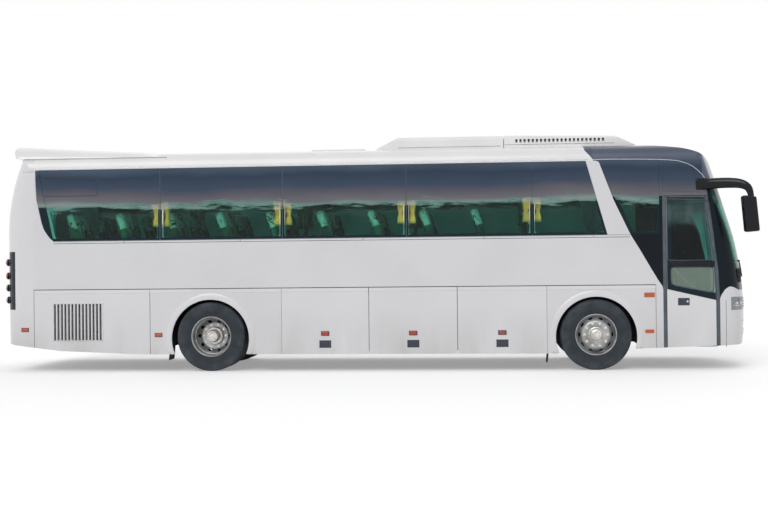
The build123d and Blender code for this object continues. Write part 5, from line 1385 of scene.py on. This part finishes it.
LOWER_PANE = rounded([(1.082, 1.5), (1.694, 1.494), (1.691, 1.122), (1.086, 1.245)], 0.055)
UPPER_PANE = rounded([(1.032, 2.5), (1.628, 2.472), (1.7, 1.95), (1.722, 1.6), (1.04, 1.6)], 0.03)
frames = [door_outline_bead("pane_frame", pane, radius) for pane, radius in (
    (LOWER_PANE, 0.0065), (UPPER_PANE, 0.005))]
fitted(joined("door_pane_frames", frames), "passenger_door", "seal_rubber")
bar_y = side_y(FRONT_X + 1.38, 1.54)
bar = slab("door_bar", (FRONT_X + 1.05, bar_y - 0.006, 1.506), (FRONT_X + 1.712, bar_y + 0.006, 1.58),
           0.004)
fitted(bar, "passenger_door", "black_gloss")
handle_y = side_y(FRONT_X + 1.26, 1.0)
plate = slab("handle_plate", (FRONT_X + 1.179, handle_y - 0.006, 0.944),
             (FRONT_X + 1.345, handle_y + 0.004, 1.051), 0.006, 3)
grip = slab("handle_grip", (FRONT_X + 1.222, handle_y - 0.017, 0.962), (FRONT_X + 1.292, handle_y, 1.033),
            0.007, 3)
button = turned("handle_lock", [(0, 0.015), (0.012, 0.015), (0.014, 0.012), (0.0141, 0)], 24,
                (FRONT_X + 1.315, handle_y - 0.004, 1.0), (math.radians(90), 0, 0))
fitted(joined("door_handle", [plate, grip]), "passenger_door", "latch_black")
fitted(button, "passenger_door", "trim_silver")
print("door: frames, bar and handle")

# %% Grab rail inside the door
rail_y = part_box("passenger_door")[1].y + 0.012
door_x = FRONT_X + 1.1
rail = drawn("door_grab_rail", [(door_x + ahead, rail_y + inward, z) for ahead, inward, z in (
    (0, -0.02, 1.62), (0, 0.035, 1.63), (0.02, 0.045, 1.5), (0.3, 0.045, 1.22), (0.5, 0.045, 1.12),
    (0.52, 0.035, 1.1), (0.52, -0.02, 1.1))], 0.013)
fitted(rail, "passenger_door", "trim_silver")
print("grab rail on the door leaf")

# %% [markdown]
# ## Lamps
#
# A lamp is a clear skin over bright bowls. The skins are parts of the frame; the bowls are turned
# here and set behind them. At the rear the lenses bulge out of a smoked panel.

# %% Headlamp bowls
def lamp_bowl(name, radius, depth, place, turn):
    """A reflector bowl with a rim and a bulb in it."""
    rings = [(0.0, radius), (0.004, radius * 1.05), (0.006, radius), (-0.3 * depth, radius * 0.9),
             (-0.7 * depth, radius * 0.62), (-depth, radius * 0.28), (-depth, radius * 0.2),
             (-0.45 * depth, radius * 0.17), (-0.38 * depth, radius * 0.1), (-0.36 * depth, 0)]
    return turned(name, rings, 40, place, turn)


FACE_FORWARD = (0, math.radians(90), 0)
lamp_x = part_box("headlamps")[0].x
for side, sign in SIDES:
    bowls = []
    for y, z, radius in ((0.735, 0.965, 0.068), (0.885, 0.965, 0.068), (1.01, 0.96, 0.05)):
        found = skin_hit((6.2, sign * y, z), (-1, 0, 0), ["headlamps"])
        if found:
            bowl_x = found[0].x - 0.028 - (0.03 if y > 1 else 0)
            bowls.append(lamp_bowl("bowl", radius, 0.08, (bowl_x, sign * y, z), FACE_FORWARD))
    fitted(joined("headlamp_bowls_" + side, bowls), "coach", "reflector")
    back = slab("headlamp_housing_" + side, (lamp_x - 0.03, -0.25, 0.868),
                (lamp_x + 0.02, 0.2, 1.062), 0.01)
    moved(back, 0, sign * 0.88, 0)
    fitted(back, "coach", "dash_plastic")
print("headlamp bowls")

# %% Rear lamp lenses
BACKWARD = (0, math.radians(-90), 0)
LAMP_Y = 1.105
LAMP_DOME = [(-0.01, 0.056), (0.004, 0.056), (0.006, 0.051), (0.01, 0.05), (0.0175, 0.044), (0.0215, 0.032),
             (0.0235, 0.016), (0.024, 0.0)]
for side, sign in SIDES:
    red, other = [], []
    for z, kind in ((1.67, "red"), (1.465, "amber"), (1.28, "red"), (1.095, "clear")):
        found = skin_hit((-6.2, sign * LAMP_Y, z), (1, 0, 0), ["tail_lamps", "rear_cap"])
        dome = turned("dome", LAMP_DOME, 36, (found[0].x, sign * LAMP_Y, z), BACKWARD)
        (red if kind == "red" else other).append(dome)
    fitted(joined("rear_lamps_red_" + side, red), "coach", "lamp_red")
    fitted(other[0], "coach", "lamp_amber")
    other[0].name = "rear_indicator_" + side
    fitted(other[1], "coach", "lamp_grey")
    other[1].name = "reversing_lamp_" + side
brake_x = skin_hit((-6.2, 0, 3.17), (1, 0, 0))[0].x
brake = slab("high_brake_lamp", (brake_x - 0.012, -0.3, 3.15), (brake_x + 0.02, 0.3, 3.19), 0.006, 3)
fitted(brake, "coach", "lamp_red")
print("rear lamps")

# %% [markdown]
# ## Rear visor
#
# A deep visor wraps the roof's rear end from side to side and overhangs the back window. It is one
# moulding with soft shoulders. A grid is laid over the roof, each row of it bent to a rounded arch
# whose height falls towards the front, then the grid is extruded down for its skirt.

# %% Visor and its rear seams
VISOR_ROWS, VISOR_COLUMNS = 30, 40
VISOR_REAR, VISOR_FRONT = -8.86, -6.41
VISOR_HALF = 1.165
VISOR_FOOT = 3.255
VISOR_LEAN = 0.1


def visor_top(share):
    """Height of the visor's crown from its rear end, 0, to its front end, 1."""
    return 3.5 - 0.165 * share - 0.085 * max(0.0, (share - 0.86) / 0.14) ** 2


take()
bpy.ops.mesh.primitive_grid_add(x_subdivisions=VISOR_ROWS, y_subdivisions=VISOR_COLUMNS, size=2)
visor = settle("rear_visor", 50)
for vertex in visor.data.vertices:
    share, across = (vertex.co.x + 1) / 2, vertex.co.y
    crown = visor_top(share)
    arch = (1 - abs(across) ** 3.4) ** 0.42
    height = VISOR_FOOT + (crown - VISOR_FOOT) * arch
    lean = VISOR_LEAN * (1 - arch) * (1 - share) ** 8
    narrow = 1 - 0.028 * arch * abs(across)
    vertex.co = (FRONT_X + VISOR_REAR + (VISOR_FRONT - VISOR_REAR) * share + lean,
                 across * VISOR_HALF * narrow, height)
edited(visor, functools.partial(bpy.ops.mesh.extrude_region_move,
                                TRANSFORM_OT_translate={"value": (0, 0, -1)}))
for vertex in visor.data.vertices:
    if vertex.co.z < VISOR_FOOT - 0.3:
        across = abs(vertex.co.y) / VISOR_HALF
        from_rear = vertex.co.x - FRONT_X - VISOR_REAR
        vertex.co.z = VISOR_FOOT - 0.004 - 0.05 * min(1.0, from_rear / 0.35) * (1 - across ** 4)
        if from_rear < 0.3:
            vertex.co.x += VISOR_LEAN * (1 - from_rear / 0.3)
edited(visor, face_out)
bpy.ops.object.shade_smooth_by_angle(angle=math.radians(50))
for side, sign in SIDES:
    seam = [on_side(a, 3.05, sign) for a in even(-8.64, -8.47, 6)]
    fitted(bead("rear_seam_" + side, seam, 0.003, 0.6, sign), "coach", "black_rubber")
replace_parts(fitted(visor, "coach", "roof_paint"), "rear_spoiler")
print("rear visor:", len(visor.data.polygons), "faces")

# %% [markdown]
# ## Mirrors
#
# The mirror head hangs in front of the windscreen's edge. On its back one sees a gloss shell and
# on its rear face a main and a small wide-angle glass.

# %% Mirror heads, arms and glasses
ARM_SPOTS = [(1.47, 1.165, 2.7), (1.6, 1.24, 2.705), (1.75, 1.3, 2.712), (1.9, 1.352, 2.712),
             (2.05, 1.402, 2.7), (2.145, 1.436, 2.655), (2.185, 1.452, 2.58), (2.195, 1.457, 2.5)]
ARM_SWELL = [1.0, 1.0, 0.98, 0.96, 0.88, 0.72, 0.58, 0.5]
ARM_HALF = 0.08
HEAD_LOW, HEAD_HIGH = (2.06, 1.35, 1.992), (2.262, 1.528, 2.522)
HEAD_LEAN, HEAD_Y, HEAD_Z = 0.045, 1.439, 2.257


def mirror_arm(name):
    """The moulded arm: a thick swept tube, flattened across, that tapers towards the head."""
    spots = [(FRONT_X + ahead, y, z) for ahead, y, z in ARM_SPOTS]
    arm = drawn(name, spots, ARM_HALF, swells=ARM_SWELL, steps=6, rounds=5)
    for vertex in arm.data.vertices:
        ahead = min(max(vertex.co.x - FRONT_X, ARM_SPOTS[0][0]), ARM_SPOTS[-1][0])
        pair = [(a, b) for a, b in zip(ARM_SPOTS, ARM_SPOTS[1:]) if a[0] <= ahead <= b[0]][0]
        share = (ahead - pair[0][0]) / (pair[1][0] - pair[0][0])
        middle = pair[0][1] + (pair[1][1] - pair[0][1]) * share
        vertex.co.y = middle + (vertex.co.y - middle) * 0.62
    return arm


def mirror_head(name):
    """The housing: a leaning, rounded box with a recess in its back for the glasses."""
    low = (FRONT_X + HEAD_LOW[0], *HEAD_LOW[1:])
    high = (FRONT_X + HEAD_HIGH[0], *HEAD_HIGH[1:])
    head = slab(name, low, high)
    take(head)
    for face in head.data.polygons:
        face.select = face.normal.x < -0.9
    bpy.ops.object.mode_set(mode="EDIT")
    bpy.ops.mesh.inset(thickness=0.016)
    bpy.ops.mesh.extrude_region_move(TRANSFORM_OT_translate={"value": (0.014, 0, 0)})
    bpy.ops.object.mode_set(mode="OBJECT")
    for vertex in head.data.vertices:
        down = (HEAD_HIGH[2] - vertex.co.z) / (HEAD_HIGH[2] - HEAD_LOW[2])
        vertex.co.x += HEAD_LEAN * down
        if vertex.co.x > high[0] + HEAD_LEAN * down - 0.01:
            vertex.co.x -= 0.012
            vertex.co.y = HEAD_Y + (vertex.co.y - HEAD_Y) * 0.72
            vertex.co.z = HEAD_Z + (vertex.co.z - HEAD_Z) * 0.94
    return soften(head, 0.03, 5, 20)


root = slab("mirror_root", (FRONT_X + 1.45, 1.09, 2.615), (FRONT_X + 1.6, 1.235, 2.795), 0.024, 4)
housing = joined("mirror_housing_left", [mirror_arm("mirror_arm"), mirror_head("mirror_head"), root])
glass_x = FRONT_X + HEAD_LOW[0] + 0.014
panes = []
for pane_low, pane_high in ((2.19, 2.48), (2.035, 2.168)):
    pane = slab("mirror_pane", (glass_x - 0.004, 1.37, pane_low), (glass_x + 0.004, 1.508, pane_high),
                0.01, 3)
    for vertex in pane.data.vertices:
        vertex.co.x += HEAD_LEAN * (HEAD_HIGH[2] - vertex.co.z) / (HEAD_HIGH[2] - HEAD_LOW[2])
    panes.append(pane)
glasses = joined("mirror_glasses_left", panes)
for label, piece in (("mirror_right", mirrored(housing, "mirror_housing_right")), ("mirror_left", housing)):
    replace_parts(fitted(piece, "coach", "black_gloss"), label)
for piece in (glasses, mirrored(glasses, "mirror_glasses_right")):
    fitted(piece, "coach", "mirror_glass")
print("mirrors: housings, arms and glasses")

# %% [markdown]
# ## Small fittings of the front
#
# The bumper ends in an upright joint behind the headlamp, and the wiper arms turn in a black unit
# with three round caps at the foot of the windscreen. A joint is a thin dark bead on the skin; the
# unit is a rounded block with turned caps, which is enough at its size.

# %% Bumper joint, wiper unit and window joints
JOINT_RADIUS = 0.0035
for side, sign in SIDES:
    spots = [on_side(1.865, z, sign) for z in even(0.335, 1.01, 12)]
    fitted(bead("bumper_joint_" + side, spots, JOINT_RADIUS, 0.6, sign), "coach", "black_rubber")
    strips = [bead("joint_strip", [on_side(a, z, sign) for z in even(1.992, 3.075, 10)], 0.0075, 0.75, sign)
              for a in WINDOW_DIVIDERS]
    fitted(joined("window_joints_" + side, strips), "coach", "seal_rubber")
found = skin_hit((FRONT_X + 2.075, -2, 1.377), (0, 1, 0), ["front_mask", "windscreen", "front_bumper"])
if found:
    unit_y = found[0].y
    unit = slab("wiper_unit", (FRONT_X + 2.035, unit_y - 0.03, 1.27), (FRONT_X + 2.115, unit_y + 0.03, 1.475),
                0.018, 3)
    caps = [turned("wiper_cap", [(-0.01, 0.022), (0.01, 0.022), (0.014, 0.017), (0.0145, 0)], 24,
                   (FRONT_X + 2.075, unit_y - 0.03, z), (math.radians(90), 0, 0))
            for z in (1.31, 1.372, 1.435)]
    fitted(joined("wiper_unit", [unit] + caps), "coach", "black_rubber")
    print("wiper unit at Y", round(unit_y, 3))
print("bumper and window joints")

# %% [markdown]
# ## Roof units
#
# Two air-conditioning units sit on the roof. Their lids meet the base at a fine joint, the front
# one has a row of small square holes along each side, and on top each has round fan grilles. The
# holes are dark patches, painted shade for their hollows, and each grille lies over a black disc,
# painted shade for the fan's hollow.

# %% Lids, holes and fans
HOLES, HOLE_PITCH, FIRST_HOLE_X = 22, 0.061, FRONT_X - 1.125


def unit_side(x, z, sign, name):
    """Y of a roof unit's side at one place, or None past its ends."""
    found = skin_hit((x, sign * 2, z), (0, -sign, 0), [name])
    return found[0].y if found and abs(found[0].y) > 0.4 else None


for side, sign in SIDES:
    holes = []
    for n in range(HOLES):
        x = FIRST_HOLE_X + HOLE_PITCH * n
        y = unit_side(x, 3.42, sign, "ac_front")
        if y is not None:
            # Painted shade: each hole is a dark square patch on the unit's side, standing in for its hollow.
            holes.append(slab("hole", (x - 0.016, y - 0.005, 3.405), (x + 0.016, y + 0.005, 3.437), 0.003))
    fitted(joined("roof_unit_hole_shades_" + side, holes), "coach", "black_rubber")
    for name, first, last, z in (("front", -1.3, 0.32, 3.357), ("rear", -2.9, -1.36, 3.34)):
        places = [FRONT_X + a for a in even(first, last, 24)]
        spots = [(x, unit_side(x, z, sign, "ac_" + name), z) for x in places]
        spots = [spot for spot in spots if spot[1] is not None]
        line = bead(f"roof_unit_joint_{name}_{side}", spots, 0.003, 0.3, sign)
        fitted(line, "coach", "latch_black")
print("unit joints and", len(holes), "holes a side")

# %% Fan grilles on top
FAN_RADIUS = 0.24
RIM = [(-0.004, 1.0), (0.016, 1.0), (0.022, 0.96), (0.016, 0.92), (-0.004, 0.92)]
FANS = [("ac_front", -0.92, 0.0), ("ac_front", -0.3, 0.0)] + [
    ("ac_rear", ahead, y) for ahead in (-2.55, -1.85) for y in (-0.33, 0.33)]


def fan_grille(name, x, y, z):
    """A ring with spokes and rings, laid over a black disc of painted shade."""
    parts = [turned("fan_rim", [(height, FAN_RADIUS * share) for height, share in RIM], 48)]
    for share in (0.72, 0.5, 0.28):
        wire = FAN_RADIUS * share
        parts.append(turned("fan_wire", [(0.008, wire), (0.013, wire - 0.002), (0.008, wire - 0.006),
                                         (0.003, wire - 0.002), (0.008, wire)], 48))
    parts.append(turned("fan_boss", [(0.004, FAN_RADIUS * 0.2), (0.018, FAN_RADIUS * 0.19),
                                     (0.022, FAN_RADIUS * 0.15), (0.0225, 0)], 32))
    for n in range(8):
        spoke = slab("fan_spoke", (0.03, -0.004, 0.004), (FAN_RADIUS * 0.95, 0.004, 0.013), 0.002)
        spoke.data.transform(Matrix.Rotation(math.tau * n / 8, 4, "Z"))
        parts.append(spoke)
    return moved(joined(name, parts), x, y, z)


for number, (label, ahead, y) in enumerate(FANS, 1):
    place = (FRONT_X + ahead, y, skin_hit((FRONT_X + ahead, y, 4.5), (0, 0, -1), [label])[0].z)
    # Painted shade: a flat black disc just above the unit's top stands in for the dark hollow under the fan.
    well = turned(f"fan_shade_disc_{number}", [(0.0005, 0.222), (0.003, 0.221), (0.0031, 0)], 48, place)
    fitted(well, "coach", "black_rubber")
    fitted(fan_grille(f"fan_grille_{number}", *place), "coach", "unit_plastic")
print("fan grilles:", len(FANS))

# %% [markdown]
# ## Driver's place
#
# Through the door and the windscreen one sees the dash: a hood over the dials, a screen, vents, a
# bright tray, and the steering wheel in front of it. Of these, the hood, two dials as plain discs,
# the screen and the tray are modelled here.

# %% Dash details
dash_low, dash_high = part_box("dashboard")
dash_top = skin_hit((dash_low.x + 0.15, 0.65, 2.5), (0, 0, -1), ["dashboard"])[0].z
hood = slab("dial_hood", (dash_low.x + 0.02, 0.43, dash_top - 0.02),
            (dash_low.x + 0.25, 0.87, dash_top + 0.1), 0.045, 4)
fitted(hood, "coach", "dash_plastic")
dials = [turned("dial", [(0.0, 0.055), (0.01, 0.055), (0.012, 0.05), (0.006, 0.048), (0.0061, 0)], 36,
                (dash_low.x + 0.022, y, dash_top + 0.035), (0, math.radians(-90), 0)) for y in (0.56, 0.74)]
fitted(joined("dials", dials), "coach", "latch_black")
screen = slab("dash_screen", (dash_low.x + 0.16, 0.2, dash_top - 0.1),
              (dash_low.x + 0.2, 0.4, dash_top + 0.04), 0.01, 3)
fitted(screen, "coach", "black_gloss")
tray_top = skin_hit((dash_high.x - 0.1, -0.45, 2.5), (0, 0, -1), ["dashboard"])[0].z
tray = slab("dash_tray", (dash_high.x - 0.19, -0.92, tray_top - 0.006),
            (dash_high.x - 0.012, -0.1, tray_top + 0.035), 0.014, 3)
fitted(tray, "coach", "tray_teal")
print("dash details")

# %% [markdown]
# ## Nose and tail
#
# The nose has a low grille, fog lamps and the wipers' round pivots; the tail has a louvred engine
# lid with a handle. The picture doesn't show the ends, so they follow what such a coach has, and
# the plate places stay bare.

# %% Grille and fog lamps
NOSE, TAIL = ["front_bumper", "front_mask", "windscreen"], ["engine_door", "rear_cap", "rear_window"]
OUTSIDE_X = 7


def end_x(y, z, ahead=True):
    """X of the nose's or the tail's skin at one place."""
    names, way = (NOSE, 1) if ahead else (TAIL, -1)
    return skin_hit((way * OUTSIDE_X, y, z), (-way, 0, 0), names)[0].x


slats = [drawn("grille_slat", [(end_x(y, z) + 0.002, y, z) for y in even(-0.56, 0.56, 15)], 0.009)
         for z in (0.9, 0.94, 0.98, 1.02)]
fitted(joined("front_grille", slats), "coach", "black_gloss")
FOG_RINGS = [(-0.02, 0.062), (0.004, 0.062), (0.008, 0.056), (0.003, 0.052), (0.006, 0.046), (0.01, 0.03),
             (0.012, 0.0)]
for side, sign in SIDES:
    place = (end_x(sign * 0.86, 0.56) - 0.001, sign * 0.86, 0.56)
    fitted(turned("fog_lamp_" + side, FOG_RINGS, 40, place, FACE_FORWARD), "coach", "reflector")
seam = drawn("bumper_seam", [(end_x(y, 0.7) - 0.001, y, 0.7) for y in even(-0.95, 0.95, 25)], 0.0035)
fitted(seam, "coach", "black_rubber")
print("grille, fog lamps and bumper seam")

# %% Engine lid louvres and rear handle
rows = [drawn("louvre", [(end_x(y, z, False) + 0.001, y, z) for y in even(-0.62, 0.62, 15)], 0.0085)
        for z in [0.86 + 0.038 * n for n in range(12)]]
fitted(joined("engine_lid_louvre", rows), "engine_door", "chassis_paint")
lid_x = end_x(0, 0.74, False)
plate = slab("lid_plate", (lid_x - 0.004, -0.11, 0.705), (lid_x + 0.01, 0.11, 0.775), 0.006, 3)
pull = drawn("lid_pull", [(lid_x - out, y, 0.74) for out, y in (
    (0, -0.07), (0.03, -0.07), (0.032, -0.05), (0.032, 0.05), (0.03, 0.07), (0, 0.07))], 0.008)
fitted(joined("engine_lid_handle", [plate, pull]), "engine_door", "latch_black")
print("engine lid")
